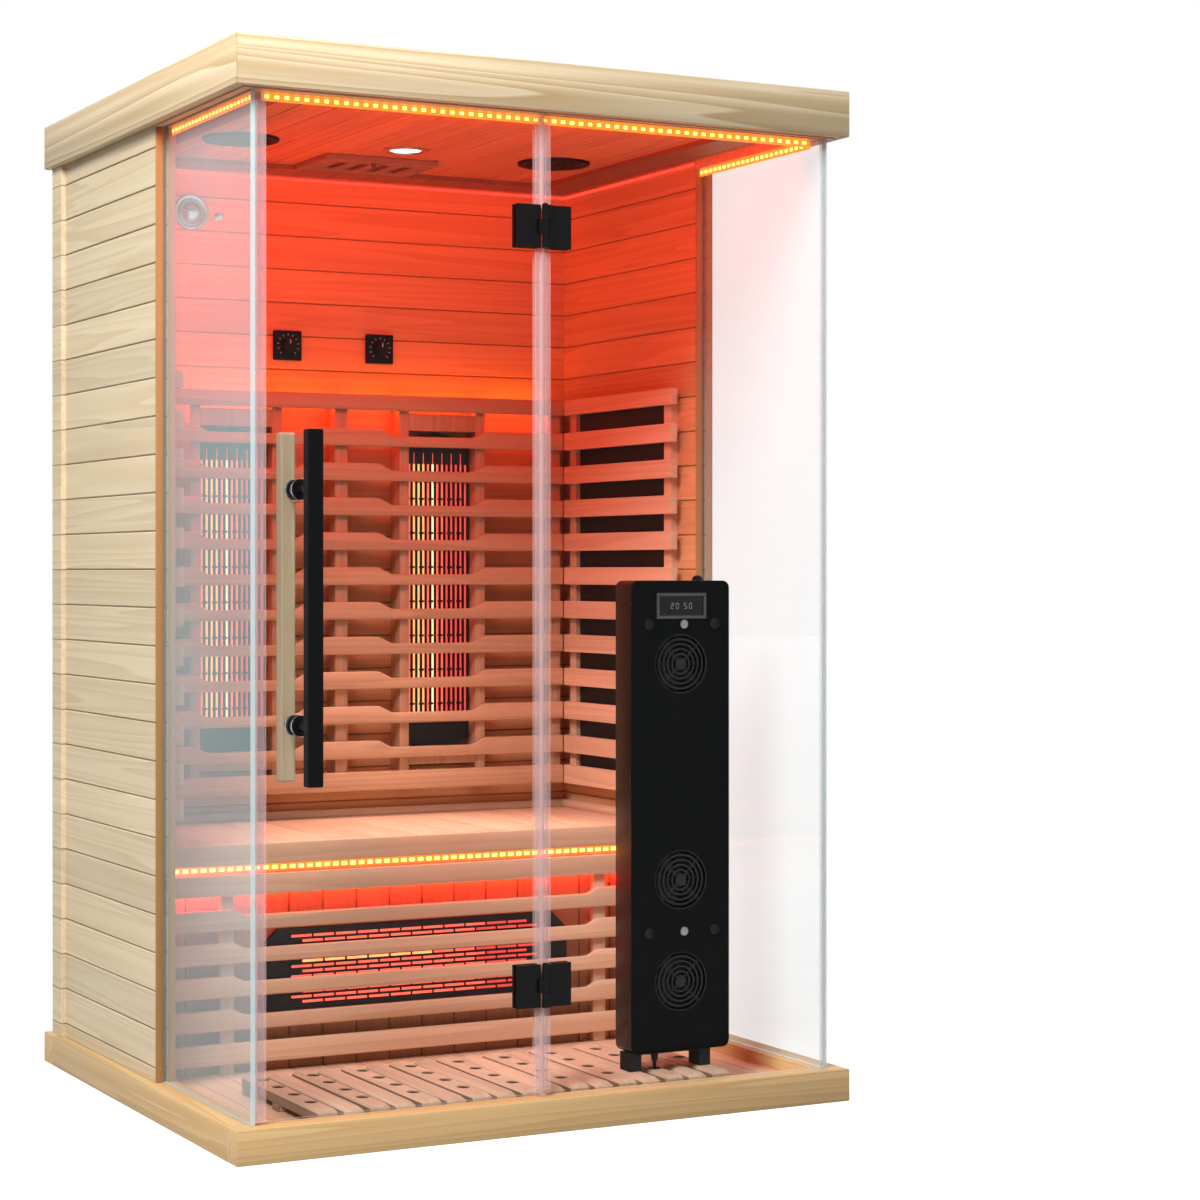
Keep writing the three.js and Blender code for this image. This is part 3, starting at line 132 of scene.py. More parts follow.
class SaunaFinishes(bpy.types.PropertyGroup):
    """Colours of the finishes, and how strongly the lights glow."""

    pale_light: colour("Light part of the outside boards", (0.79, 0.655, 0.44))
    pale_dark: colour("Grain of the outside boards", (0.58, 0.43, 0.245))
    roof_light: colour("Light part of the boards round the roof", (0.79, 0.655, 0.44))
    roof_dark: colour("Grain of the boards round the roof", (0.50, 0.34, 0.17))
    oak_light: colour("Light part of the base boards", (0.72, 0.50, 0.24))
    oak_dark: colour("Grain of the base boards", (0.48, 0.29, 0.11))
    # The inside finishes are warmer than the outside boards. This is partly the wood's own tone and partly
    # painted warm light from the cabin's red and amber lamps.
    warm_light: colour("Light part of the inside wood", (0.76, 0.51, 0.345))
    warm_dark: colour("Grain of the inside wood", (0.55, 0.33, 0.20))
    rest_light: colour("Light part of the backrest", (0.62, 0.385, 0.235))
    rest_dark: colour("Grain of the backrest", (0.44, 0.245, 0.13))
    duck_light: colour("Light part of the duckboard", (0.57, 0.40, 0.285))
    duck_dark: colour("Grain of the duckboard", (0.42, 0.27, 0.18))
    # The inner wall boards are the outside boards made more orange and darker: painted warm light from the
    # cabin's lamps.
    warm_lit_lining_light: colour("Light part of the inner wall boards", (0.70, 0.41, 0.20))
    warm_lit_lining_dark: colour("Grain of the inner wall boards", (0.50, 0.26, 0.11))
    # The boards under the bench are the inside wood made darker and redder: painted shade under the seat and
    # painted red light.
    kick_light: colour("Light part of the boards under the bench", (0.52, 0.26, 0.13))
    kick_dark: colour("Grain of the boards under the bench", (0.40, 0.18, 0.09))
    ceiling_light: colour("Light part of the ceiling boards", (0.60, 0.28, 0.13))
    ceiling_dark: colour("Grain of the ceiling boards", (0.42, 0.17, 0.07))
    # The boards round the ceiling are the ceiling wood made much darker: painted shade, as they lie in the
    # shadow of the lit cove.
    shaded_cove_light: colour("Light part of the boards round the ceiling", (0.24, 0.11, 0.055))
    shaded_cove_dark: colour("Grain of the boards round the ceiling", (0.17, 0.075, 0.035))
    glass: colour("Tint of the panes", (0.62, 0.81, 0.82))
    black: colour("Black paint and plastic", (0.004, 0.004, 0.0044))
    steel: colour("Bright metal", (0.62, 0.63, 0.65))
    amber: colour("Lamps of the light strips", (1.0, 0.66, 0.14))
    red: colour("Red light strips", (1.0, 0.035, 0.012))
    rod: colour("Bright red heater rods", (1.0, 0.13, 0.08))
    rod_dim: colour("The dimmer heater rods", (0.80, 0.065, 0.05))
    rod_warm: colour("Brighter heater rods", (1.0, 0.36, 0.12))
    rod_hot: colour("The brightest heater rod", (1.0, 0.50, 0.22))
    amber_glow: strength("Strength of the amber lamps", 3.0)
    red_glow: strength("Strength of the red strips", 6.0)
    rod_glow: strength("Strength of the heater rods", 1.3)


def sizes():
    return bpy.context.scene.sauna_sizes


def finishes():
    return bpy.context.scene.sauna_finishes


# Mesh tools


def slab(bm, low, high):
    """A plain block between two corners."""
    low, high = Vector(low), Vector(high)
    place = Matrix.Translation((low + high) / 2) @ Matrix.Diagonal((*(high - low), 1.0))
    bmesh.ops.create_cube(bm, size=1.0, matrix=place)


def sharp_edges(bm, angle=0.6):
    bm.normal_update()
    return [e for e in bm.edges if len(e.link_faces) == 2 and e.calc_face_angle(0.0) > angle]


def round_over(bm, edges, width, segments=2):
    bmesh.ops.bevel(
        bm, geom=edges, offset=width, offset_type="OFFSET", segments=segments, profile=0.5,
        affect="EDGES", clamp_overlap=True, material=-1,
    )


def turn(bm, profile, origin, axis, sides=48):
    """Turns points of (radius, distance along the axis) about an axis through origin."""
    origin = Vector(origin)
    out = axis.orthogonal().normalized()
    verts = [bm.verts.new(origin + out * radius + axis * place) for radius, place in profile]
    edges = [bm.edges.new(pair) for pair in zip(verts, verts[1:])]
    bmesh.ops.spin(
        bm, geom=verts + edges, cent=origin, axis=axis, angle=math.tau, steps=sides, use_merge=True
    )
    near = [v for v in bm.verts if (v.co - origin).cross(axis).length < 1e-6]
    bmesh.ops.remove_doubles(bm, verts=near, dist=1e-6)


def take_in(bm, part):
    """Moves all of a finished part into a larger piece."""
    mesh = bpy.data.meshes.new("part")
    part.to_mesh(mesh)
    part.free()
    bm.from_mesh(mesh)
    bpy.data.meshes.remove(mesh)


def block(bm, low, high, edge):
    """A block with rounded edges."""
    part = bmesh.new()
    slab(part, low, high)
    round_over(part, part.edges[:], edge)
    take_in(bm, part)


def dip_share(x, places, flat, ramp):
    """How far a dip has gone down at x, from 0 to 1."""
    for place in places:
        away = abs(x - place) - flat / 2
        if away <= 0:
            return 1.0
        if away < ramp:
            return 0.5 + 0.5 * math.cos(math.pi * away / ramp)
    return 0.0


def dipped_slat(bm, low, high, edge, places, depth, flat, ramp):
    """A slat along X whose top edge dips in front of each heater."""
    step = 0.010
    part = bmesh.new()
    slab(part, low, high)
    if places:
        along = [e for e in part.edges if abs((e.verts[0].co - e.verts[1].co).x) > step]
        bmesh.ops.subdivide_edges(part, edges=along, cuts=int((high[0] - low[0]) / step))
        middle = (low[2] + high[2]) / 2
        for vert in part.verts:
            if vert.co.z > middle:
                vert.co.z -= depth * dip_share(vert.co.x, places, flat, ramp)
    round_over(part, sharp_edges(part), edge)
    take_in(bm, part)


def holed_plate(width, run, holes, radius, thickness, sides=32):
    """A plate along Y with its underside at z = 0 and a row of round holes down its middle."""
    part = bmesh.new()
    half = width / 2
    outline = ((-half, 0, 0), (half, 0, 0), (half, run, 0), (-half, run, 0))
    corners = [part.verts.new(corner) for corner in outline]
    for pair in zip(corners, corners[1:] + corners[:1]):
        part.edges.new(pair)
    for place in holes:
        centre = Matrix.Translation((0, place, 0))
        bmesh.ops.create_circle(part, cap_ends=False, radius=radius, segments=sides, matrix=centre)
    bmesh.ops.triangle_fill(part, use_beauty=True, use_dissolve=False, edges=part.edges[:], normal=(0, 0, 1))
    top = bmesh.ops.extrude_face_region(part, geom=part.faces[:])["geom"]
    lifted = [v for v in top if isinstance(v, bmesh.types.BMVert)]
    bmesh.ops.translate(part, verts=lifted, vec=(0, 0, thickness))
    bmesh.ops.recalc_face_normals(part, faces=part.faces)
    return part


def new_object(name, data):
    made = bpy.data.objects.new(name, data)
    bpy.context.scene.collection.objects.link(made)
    return made


def piece(name, bm, material, slot, body=CABIN, stands_for=()):
    """Makes an object of a finished mesh, lets it ride on its body and hides the nodes it stands for."""
    bmesh.ops.recalc_face_normals(bm, faces=bm.faces)
    mesh = bpy.data.meshes.new(name)
    bm.to_mesh(mesh)
    bm.free()
    mesh.shade_smooth()
    mesh.set_sharp_from_angle(angle=math.radians(35))
    for each in material if isinstance(material, (list, tuple)) else [material]:
        mesh.materials.append(each)
    made = new_object(name, mesh)
    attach(made, body)
    if stands_for:
        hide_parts(*stands_for)


def turned(name, profile, origin, axis, sides, *finish):
    """A turned piece; finish is what piece asks for after the mesh."""
    bm = bmesh.new()
    turn(bm, profile, origin, axis, sides)
    piece(name, bm, *finish)


def spoke(bm, low, high, degrees, centre):
    """A plain block turned about Y and set round a centre."""
    part = bmesh.new()
    slab(part, low, high)
    spin = Matrix.Rotation(math.radians(degrees), 3, "Y")
    bmesh.ops.rotate(part, verts=part.verts, cent=(0, 0, 0), matrix=spin)
    bmesh.ops.translate(part, verts=part.verts, vec=centre)
    take_in(bm, part)


def paint_faces(bm, start, index):
    """Gives the faces added since start a material of their own."""
    bm.faces.ensure_lookup_table()
    for face in bm.faces[start:]:
        face.material_index = index


def dress(node, material, edge=0.0):
    """Gives a solid its finish and, where asked, rounds its edges."""
    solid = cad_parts[node]
    solid.data.materials.clear()
    solid.data.materials.append(material)
    if edge:
        weld = solid.modifiers.new("joined corners", "WELD")
        weld.merge_threshold = 1e-5
        flat = solid.modifiers.new("flat faces", "DECIMATE")
        flat.decimate_type = "DISSOLVE"
        flat.angle_limit = math.radians(1)
        eased = solid.modifiers.new("eased edges", "BEVEL")
        eased.width = edge
        eased.segments = 2
        eased.limit_method = "ANGLE"
        eased.angle_limit = math.radians(40)


def middle(node):
    low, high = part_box(node)
    return (low + high) / 2


def axis_point(node, axis):
    """The middle of a node, moved along an axis to where that axis has its zero."""
    centre = middle(node)
    return centre - axis * centre.dot(axis)


# Materials


def fill(tree, node, inputs):
    """Links or sets the inputs of a node."""
    for socket, value in inputs.items():
        if isinstance(value, bpy.types.NodeSocket):
            tree.links.new(value, node.inputs[socket])
        else:
            node.inputs[socket].default_value = value


def add_node(tree, kind, inputs=None, **settings):
    made = tree.nodes.new(kind)
    for name, value in settings.items():
        setattr(made, name, value)
    fill(tree, made, inputs or {})
    return made


def math_node(tree, operation, a, b=0.0):
    return add_node(tree, "ShaderNodeMath", {0: a, 1: b}, operation=operation).outputs[0]


def scaled(tree, value, factor, offset):
    return math_node(tree, "ADD", math_node(tree, "MULTIPLY", value, factor), offset)


def blend(tree, share, first, second, **settings):
    """A mix of two colours."""
    given = {0: share, 6: first, 7: second}
    return add_node(tree, "ShaderNodeMix", given, data_type="RGBA", **settings).outputs[2]


def new_group(name, inputs, outputs):
    group = bpy.data.node_groups.new(name, "ShaderNodeTree")
    for kind, side in ((inputs, "INPUT"), (outputs, "OUTPUT")):
        for socket, socket_type in kind:
            group.interface.new_socket(socket, in_out=side, socket_type=socket_type)
    return group, add_node(group, "NodeGroupInput"), add_node(group, "NodeGroupOutput")


def softwood_group():
    """Straight-grained softwood: year rings, fibres and a tone of its own for each board."""
    name = "softwood grain"
    if name in bpy.data.node_groups:
        return bpy.data.node_groups[name]
    tree, given, result = new_group(
        name,
        [("Place", "NodeSocketVector"), ("Board", "NodeSocketFloat"), ("Light", "NodeSocketColor"),
         ("Dark", "NodeSocketColor"), ("Figure", "NodeSocketFloat")],
        [("Color", "NodeSocketColor"), ("Roughness", "NodeSocketFloat"), ("Height", "NodeSocketFloat")],
    )
    chance = add_node(tree, "ShaderNodeTexWhiteNoise", {"W": given.outputs["Board"]}, noise_dimensions="1D")
    shift = add_node(
        tree, "ShaderNodeVectorMath", {0: chance.outputs["Color"], 1: (7.0, 7.0, 7.0)}, operation="MULTIPLY"
    )
    place = add_node(
        tree, "ShaderNodeVectorMath", {0: given.outputs["Place"], 1: shift.outputs[0]}, operation="ADD"
    )

    def stretched(scale, **noise):
        drawn = add_node(
            tree, "ShaderNodeVectorMath", {0: place.outputs[0], 1: scale}, operation="MULTIPLY"
        )
        return add_node(tree, "ShaderNodeTexNoise", {"Vector": drawn.outputs[0], **noise}).outputs[0]

    figure = stretched((0.28, 12.0, 12.0), Scale=1.0, Detail=2.0, Roughness=0.45, Distortion=0.25)
    rings = math_node(tree, "FRACT", math_node(tree, "MULTIPLY", figure, 13.0))
    ring = add_node(tree, "ShaderNodeValToRGB", {"Fac": rings})
    ring.color_ramp.elements[0].color = (0.05, 0.05, 0.05, 1)
    ring.color_ramp.elements[1].position = 0.93
    ring.color_ramp.elements[1].color = (0.8, 0.8, 0.8, 1)
    last = ring.color_ramp.elements.new(1.0)
    last.color = (0.1, 0.1, 0.1, 1)
    fibre = stretched((5.0, 380.0, 380.0), Scale=1.0, Detail=3.0, Roughness=0.6)
    cloud = stretched((1.4, 6.0, 6.0), Scale=1.0, Detail=1.0)
    grain = math_node(tree, "MULTIPLY", ring.outputs["Color"], given.outputs["Figure"])
    grain = math_node(tree, "ADD", grain, math_node(tree, "MULTIPLY", fibre, 0.45))
    grain = math_node(tree, "ADD", grain, math_node(tree, "MULTIPLY", cloud, 0.45))
    share = math_node(tree, "SUBTRACT", grain, 0.38)
    tone = blend(tree, share, given.outputs["Light"], given.outputs["Dark"], clamp_factor=True)
    value = scaled(tree, chance.outputs["Value"], 0.15, 0.90)
    board = add_node(tree, "ShaderNodeHueSaturation", {"Color": tone, "Value": value})
    rough = scaled(tree, grain, 0.18, 0.42)
    height = math_node(tree, "ADD", fibre, ring.outputs["Color"])
    fill(tree, result, {"Color": board.outputs[0], "Roughness": rough, "Height": height})
    return tree


def once(make):
    """Makes a material the first time that its name is asked for, and finds it after that."""

    @functools.wraps(make)
    def find(name, *values, **settings):
        return bpy.data.materials.get(name) or make(name, *values, **settings)

    return find


def principled(name):
    made = bpy.data.materials.new(name)
    made.use_nodes = True
    return made, made.node_tree, made.node_tree.nodes["Principled BSDF"]


def coordinates(tree, kind):
    return add_node(tree, "ShaderNodeTexCoord").outputs[kind]


def noise(tree, scale, detail):
    given = {"Vector": coordinates(tree, "Object"), "Scale": scale, "Detail": detail}
    return add_node(tree, "ShaderNodeTexNoise", given).outputs[0]


def facing(tree, axis):
    """1 where a face looks along an axis, either way, and 0 where it stands across it."""
    normal = add_node(tree, "ShaderNodeSeparateXYZ", {0: coordinates(tree, "Normal")})
    return math_node(tree, "ABSOLUTE", normal.outputs["XYZ".index(axis)])


def place_of(tree, along):
    """Object coordinates, apart and as a vector whose first part runs along the grain."""
    parts = add_node(tree, "ShaderNodeSeparateXYZ", {0: coordinates(tree, "Object")})
    first = "XYZ".index(along)
    order = [first] + [i for i in range(3) if i != first]
    vector = add_node(tree, "ShaderNodeCombineXYZ", {i: parts.outputs[axis] for i, axis in enumerate(order)})
    return parts, vector.outputs[0]


@once
def wood(
    name, light, dark, along, across="Z", pitch=10.0, start=0.0, figure=0.6, seam=0.0, seam_face="", inside=None
):
    """Boards with the grain along one axis, counted across another, with dark seams between them: dark joints
    on the walls, and painted shade in the open gaps of the duckboard.
    """
    made, tree, shader = principled(name)
    parts, place = place_of(tree, along)
    count = math_node(tree, "SUBTRACT", parts.outputs["XYZ".index(across)], start)
    share = math_node(tree, "DIVIDE", count, pitch)
    board = math_node(tree, "FLOOR", share)
    given = {"Place": place, "Board": board, "Light": (*light, 1), "Dark": (*dark, 1), "Figure": figure}
    grain = add_node(tree, "ShaderNodeGroup", given, node_tree=softwood_group())
    # Near the axis another finish takes over: painted warm light on the inner faces of the walls, and painted
    # shade on the boards round the ceiling.
    if inside:
        axis, reach, inner_light, inner_dark = inside
        away = math_node(tree, "ABSOLUTE", parts.outputs["XYZ".index(axis)])
        near = math_node(tree, "LESS_THAN", away, reach)
        for socket, outer, inner in (("Light", light, inner_light), ("Dark", dark, inner_dark)):
            fill(tree, grain, {socket: blend(tree, near, (*outer, 1), (*inner, 1))})
    bump = add_node(
        tree, "ShaderNodeBump", {"Height": grain.outputs["Height"], "Strength": 0.12, "Distance": 0.0006}
    )
    tone = grain.outputs["Color"]
    if seam:
        near = math_node(tree, "PINGPONG", share, 0.5)
        gap = math_node(tree, "MULTIPLY", math_node(tree, "LESS_THAN", near, seam / pitch), 0.75)
        if seam_face:
            shown = math_node(tree, "GREATER_THAN", facing(tree, seam_face), 0.5)
            gap = math_node(tree, "MULTIPLY", gap, shown)
        shade = tuple(0.35 * c for c in dark)
        tone = blend(tree, gap, tone, (*shade, 1))
    rough = grain.outputs["Roughness"]
    fill(tree, shader, {"Base Color": tone, "Roughness": rough, "Normal": bump.outputs[0]})
    return made


@once
def speckled(name, base, roughness, metallic=0.0, scale=600.0, spread=0.12, shine=0.5, bump=0.05):
    """Paint, plastic or metal with a fine texture and faint clouds in its gloss."""
    made, tree, shader = principled(name)
    fine, cloud = noise(tree, scale, 2.0), noise(tree, 9.0, 3.0)
    gloss = math_node(tree, "MULTIPLY", math_node(tree, "SUBTRACT", cloud, 0.5), spread)
    rough = math_node(tree, "ADD", gloss, roughness)
    value = scaled(tree, cloud, 0.3, 0.85)
    tone = add_node(tree, "ShaderNodeHueSaturation", {"Color": (*base, 1), "Value": value}).outputs[0]
    grain = add_node(tree, "ShaderNodeBump", {"Height": fine, "Strength": bump, "Distance": 0.0004})
    fill(tree, shader, {"Base Color": tone, "Roughness": rough, "Normal": grain.outputs[0]})
    fill(tree, shader, {"Metallic": metallic, "Specular IOR Level": shine})
    return made


@once
def glow(name, base, power):
    """A lit lamp or rod, a little brighter in places."""
    made, tree, shader = principled(name)
    value = scaled(tree, noise(tree, 40.0, 1.0), 0.6, 0.70)
    tone = add_node(tree, "ShaderNodeHueSaturation", {"Color": (*base, 1), "Value": value}).outputs[0]
    fill(tree, shader, {"Emission Color": tone, "Emission Strength": power})
    fill(tree, shader, {"Base Color": (*[0.25 * c for c in base], 1), "Roughness": 0.4})
    return made


@once
def pane(name, tint, face_alpha, edge_alpha, face_axis):
    """Glass whose cut edges show and whose faces are clear but for a faint patchy veil of the tint, which is
    painted reflection of the pale surroundings.
    """
    made, tree, shader = principled(name)
    edge = math_node(tree, "LESS_THAN", facing(tree, face_axis), 0.5)
    reflection_veil = math_node(tree, "MULTIPLY", math_node(tree, "ADD", noise(tree, 1.6, 1.0), 0.5), face_alpha)
    alpha = add_node(tree, "ShaderNodeMix", {0: edge, 2: reflection_veil, 3: edge_alpha}, data_type="FLOAT")
    look = {"Alpha": alpha.outputs[0], "Base Color": (*tint, 1), "Roughness": 0.04, "IOR": 1.5}
    fill(tree, shader, look)
    return made


def boards(kind, along, across="Z", pitch=10.0, start=0.0, inside=None, **settings):
    """Wood in one of the finishes; inside names an axis, how far from 0 it reaches, and another finish."""
    f = finishes()

    def colours(finish):
        return getattr(f, f"{finish}_light"), getattr(f, f"{finish}_dark")

    name = f"{kind} wood {along}{across}{pitch:.3f}{start:.2f}"
    inner = inside and (*inside[:2], *colours(inside[2]))
    return wood(name, *colours(kind), along, across, pitch, start, inside=inner, **settings)


def black_paint():
    return speckled("black paint", finishes().black, 0.36, scale=900.0, shine=0.12)


def black_plastic():
    return speckled("black plastic", finishes().black, 0.5, scale=700.0, shine=0.15, bump=0.12)


def black_rubber():
    return speckled("black rubber", finishes().black, 0.8, scale=500.0, bump=0.2)


def bright_steel():
    return speckled("bright steel", finishes().steel, 0.22, metallic=1.0, scale=300.0, bump=0.02)


def dark_steel():
    return speckled("dark steel", (0.22, 0.23, 0.24), 0.28, metallic=1.0, scale=300.0, bump=0.02)


def amber_lamp():
    return glow("amber lamp", finishes().amber, finishes().amber_glow)


def red_lamp():
    return glow("red lamp", finishes().red, finishes().red_glow)


# Pieces


class SAUNA_OT_stage(bpy.types.Operator):
    """Adds the pale floor, the soft studio light and the camera"""

    bl_idname = "sauna.stage"
    bl_label = "Stage"

    # Name, place, target, size and power of the lamps of the studio
    studio = (
        ("key light", (-3.0, -2.6, 4.4), (0, 0, 0.9), 2.4, 395),
        ("front light", (2.6, -4.5, 4.6), (0, 0, 0.6), 3.0, 45),
        ("back light", (2.5, 4.5, 4.0), (0, 0, 1.0), 4.0, 160),
    )
    red, orange = (1.0, 0.045, 0.012), (1.0, 0.17, 0.02)
    # Name, place, direction, size, power and tint of the light that the strips throw
    inside = (
        ("ceiling glow", (0.0, 0.0, 1.50), (0, 0, 1), (0.95, 0.90), 1.2, red),
        ("canopy glow", (0.0, -0.47, 1.78), (0, 0.85, -0.5), (1.0, 0.05), 5.0, red),
        ("wall glow", (0.0, 0.40, 1.815), (0, 0.6, -0.8), (1.0, 0.02), 0.5, red),
        ("bench glow", (0.0, 0.057, 0.383), (0, 0.6, -0.5), (1.05, 0.01), 1.2, red),
        ("side glow", (-0.46, 0.12, 1.66), (1, 0, -0.5), (0.70, 0.10), 3.2, red),
        ("rail red", (0.0, 0.466, 1.337), (0, 0.5, -0.85), (1.0, 0.01), 0.55, red),
        ("rail glow", (0.0, 0.475, 1.372), (0, 0.25, 0.95), (1.0, 0.03), 0.5, orange),
        ("panel glow", (-0.12, -0.20, 0.72), (1, -0.1, 0), (0.25, 0.9), 0.5, red),
    )

    def execute(self, context):
        scene = context.scene
        scene.view_settings.view_transform = "Standard"
        self.add_world(scene)
        self.add_floor()
        for lamp in self.studio:
            self.add_lamp(*lamp)
        for lamp in self.inside:
            self.add_glow(*lamp)
        self.add_downlight((0.0, 0.124, 1.825), 60.0)
        self.add_camera(scene)
        return {"FINISHED"}

    def seen(self, tree):
        """1 for what the eye sees, straight, in a mirror or through glass."""
        path = add_node(tree, "ShaderNodeLightPath")
        straight = math_node(tree, "MAXIMUM", path.outputs["Is Camera Ray"], path.outputs["Is Glossy Ray"])
        return math_node(tree, "MAXIMUM", straight, path.outputs["Is Transmission Ray"])

    def add_world(self, scene):
        world = bpy.data.worlds.new("studio")
        scene.world = world
        world.use_nodes = True
        tree = world.node_tree
        ambient = 0.06
        level = add_node(tree, "ShaderNodeMix", {0: self.seen(tree), 2: ambient, 3: 1.0}, data_type="FLOAT")
        fill(tree, tree.nodes["Background"], {"Color": (1, 1, 1, 1), "Strength": level.outputs[0]})

    def add_floor(self):
        bm = bmesh.new()
        bmesh.ops.create_grid(bm, x_segments=1, y_segments=1, size=30.0)
        mesh = bpy.data.meshes.new("floor")
        bm.to_mesh(mesh)
        bm.free()
        floor = new_object("floor", mesh)
        made, tree, shader = principled("pale floor")
        fill(tree, shader, {"Roughness": 0.9, "Specular IOR Level": 0.1, "Emission Color": (1, 1, 1, 1)})
        place = coordinates(tree, "Object")
        away = add_node(tree, "ShaderNodeVectorMath", {0: place}, operation="LENGTH").outputs["Value"]
        paling = add_node(tree, "ShaderNodeMapRange", {0: away, 1: 1.0, 2: 5.0, 3: 0.82, 4: 1.0})
        fading = add_node(tree, "ShaderNodeMapRange", {0: away, 1: 1.5, 2: 5.0, 3: 0.40, 4: 0.0})
        lift = math_node(tree, "MULTIPLY", self.seen(tree), paling.outputs[0])
        fill(tree, shader, {"Base Color": fading.outputs[0], "Emission Strength": lift})
        mesh.materials.append(made)

    def add_lamp(self, name, place, target, size, power):
        lamp = bpy.data.lights.new(name, "AREA")
        lamp.shape = "DISK"
        lamp.size = size
        lamp.energy = power
        made = new_object(name, lamp)
        made.location = place
        aim = Vector(target) - Vector(place)
        made.rotation_euler = aim.to_track_quat("-Z", "Y").to_euler()
        made.visible_camera = False
        made.visible_glossy = False
        return made

    def add_glow(self, name, place, aim, size, power, tint):
        """Light of the cabin's own lamps, wide along X."""
        made = self.add_lamp(name, place, Vector(place) + Vector(aim), size[0], power)
        made.data.shape = "RECTANGLE"
        made.data.size_y = size[1]
        made.data.color = tint

    def add_downlight(self, place, power):
        lamp = bpy.data.lights.new("downlight beam", "SPOT")
        lamp.energy = power
        lamp.color = (1.0, 0.86, 0.76)
        lamp.spot_size = math.radians(44)
        lamp.spot_blend = 0.8
        lamp.shadow_soft_size = 0.03
        new_object("downlight beam", lamp).location = place

    def add_camera(self, scene):
        camera = bpy.data.cameras.new("camera")
        picture_side = 1200.0
        focal_pixels = 2713.08
        horizon_pixel = 570.37
        camera.sensor_width = 36.0
        camera.lens = camera.sensor_width * focal_pixels / picture_side
        camera.shift_y = (horizon_pixel - picture_side / 2) / picture_side
        made = new_object("camera", camera)
        made.location = (-2.19834, -4.85190, 0.998595)
        made.rotation_euler = (math.radians(90), 0, math.radians(-27.9363))
        scene.camera = made


class SAUNA_OT_shell(bpy.types.Operator):
    """Finishes the boarded walls, the roof and the base"""

    bl_idname = "sauna.shell"
    bl_label = "Walls, roof and base"

    def execute(self, context):
        s = sizes()
        warm_lit_lining = 0.008
        wall_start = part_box("left_wall")[0].z + s.first_board
        # The inner faces of the walls get the warm-lit lining finish: painted warm light on the same boards as
        # outside.
        side = ("X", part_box("right_wall")[0].x + warm_lit_lining, "warm_lit_lining")
        rear = ("Y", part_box("back_wall")[0].y + warm_lit_lining, "warm_lit_lining")
        walls = boards("pale", "Y", "Z", s.board_pitch, wall_start, side, seam=s.seam)
        back = boards("pale", "X", "Z", s.board_pitch, wall_start, rear, seam=s.seam)
        dress("left_wall", walls)
        dress("right_wall", walls)
        dress("back_wall", back)
        self.fascia()
        self.base()
        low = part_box("ceiling_panel")[0]
        # The lowest boards of the ceiling get the shaded cove finish: painted shade.
        shaded_cove = ("Z", low.z + s.cove_shade, "shaded_cove")
        ceiling = boards("ceiling", "Y", "X", s.board_pitch, low.x, shaded_cove, seam=s.seam, seam_face="Z")
        dress("ceiling_panel", ceiling)
        dress("canopy_header", boards("warm", "X"))
        dress("roof_cover", boards("pale", "X"), s.board_edge)
        dress("power_box", black_plastic(), s.board_edge)
        floor = boards("warm", "Y", "X", s.board_pitch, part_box("floor_panel")[0].x, seam=s.seam)
        dress("floor_panel", floor)
        self.front_posts()
        return {"FINISHED"}

    def fascia(self):
        """Four boards round the roof, cut at 45 degrees where they meet."""
        thickness = 0.020
        low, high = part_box("roof_fascia")
        bm = bmesh.new()
        for y0 in (low.y, high.y - thickness):
            self.mitred(bm, Vector((low.x, y0, low.z)), Vector((high.x, y0 + thickness, high.z)), 0)
        start = len(bm.faces)
        for x0 in (low.x, high.x - thickness):
            self.mitred(bm, Vector((x0, low.y, low.z)), Vector((x0 + thickness, high.y, high.z)), 1)
        paint_faces(bm, start, 1)
        finish = [boards("roof", axis, figure=1.0) for axis in "XY"]
        piece("roof_fascia_boards", bm, finish, "pale_wood", stands_for=["roof_fascia"])

    def mitred(self, bm, low, high, along):
        """A board whose ends are cut at 45 degrees, on the side that faces the middle."""
        part = bmesh.new()
        slab(part, low, high)
        across = 1 - along
        inside = min(low[across], high[across], key=abs)
        for vert in part.verts:
            if abs(vert.co[across] - inside) < 1e-6:
                vert.co[along] -= math.copysign(high[across] - low[across], vert.co[along])
        round_over(part, sharp_edges(part), sizes().frame_edge)
        take_in(bm, part)

    def base(self):
        """Four boards round a plain sub-floor."""
        s = sizes()
        low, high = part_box("base_tray")
        floor_low, floor_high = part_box("floor_panel")
        bm = bmesh.new()
        for y0, y1 in ((low.y, floor_low.y), (floor_high.y, high.y)):
            block(bm, (low.x, y0, low.z), (high.x, y1, high.z), s.frame_edge)
        start = len(bm.faces)
        for x0, x1 in ((low.x, floor_low.x), (-floor_low.x, high.x)):
            block(bm, (x0, floor_low.y, low.z), (x1, floor_high.y, high.z - ROOM), s.board_edge)
        slab(bm, (floor_low.x, floor_low.y, low.z), (-floor_low.x, floor_high.y, floor_low.z))
        paint_faces(bm, start, 1)
        finish = [boards("oak", axis) for axis in "XY"]
        piece("base_boards", bm, finish, "oak_wood", stands_for=["base_tray"])

    def front_posts(self):
        """Upright strips on the front ends of the side walls."""
        thickness, width, clear = 0.004, 0.038, 0.0005
        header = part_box("canopy_header")[0].z
        strip = wood("post wood", (0.42, 0.22, 0.085), (0.30, 0.14, 0.05), "Z", figure=0.35)
        for node, side in (("left_wall", -1), ("right_wall", 1)):
            low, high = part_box(node)
            inner = high.x if side < 0 else low.x
            outer = inner + side * width
            pane_low, pane_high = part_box(node.replace("wall", "glass"))
            bm = bmesh.new()
            left, right = sorted((inner, outer))
            for x0, x1 in ((left, pane_low.x - clear), (pane_high.x + clear, right)):
                block(bm, (x0, low.y - thickness, low.z), (x1, low.y - TOUCH, header - clear), 0.001)
            piece(f"{node}_front_post", bm, strip, "pale_wood")


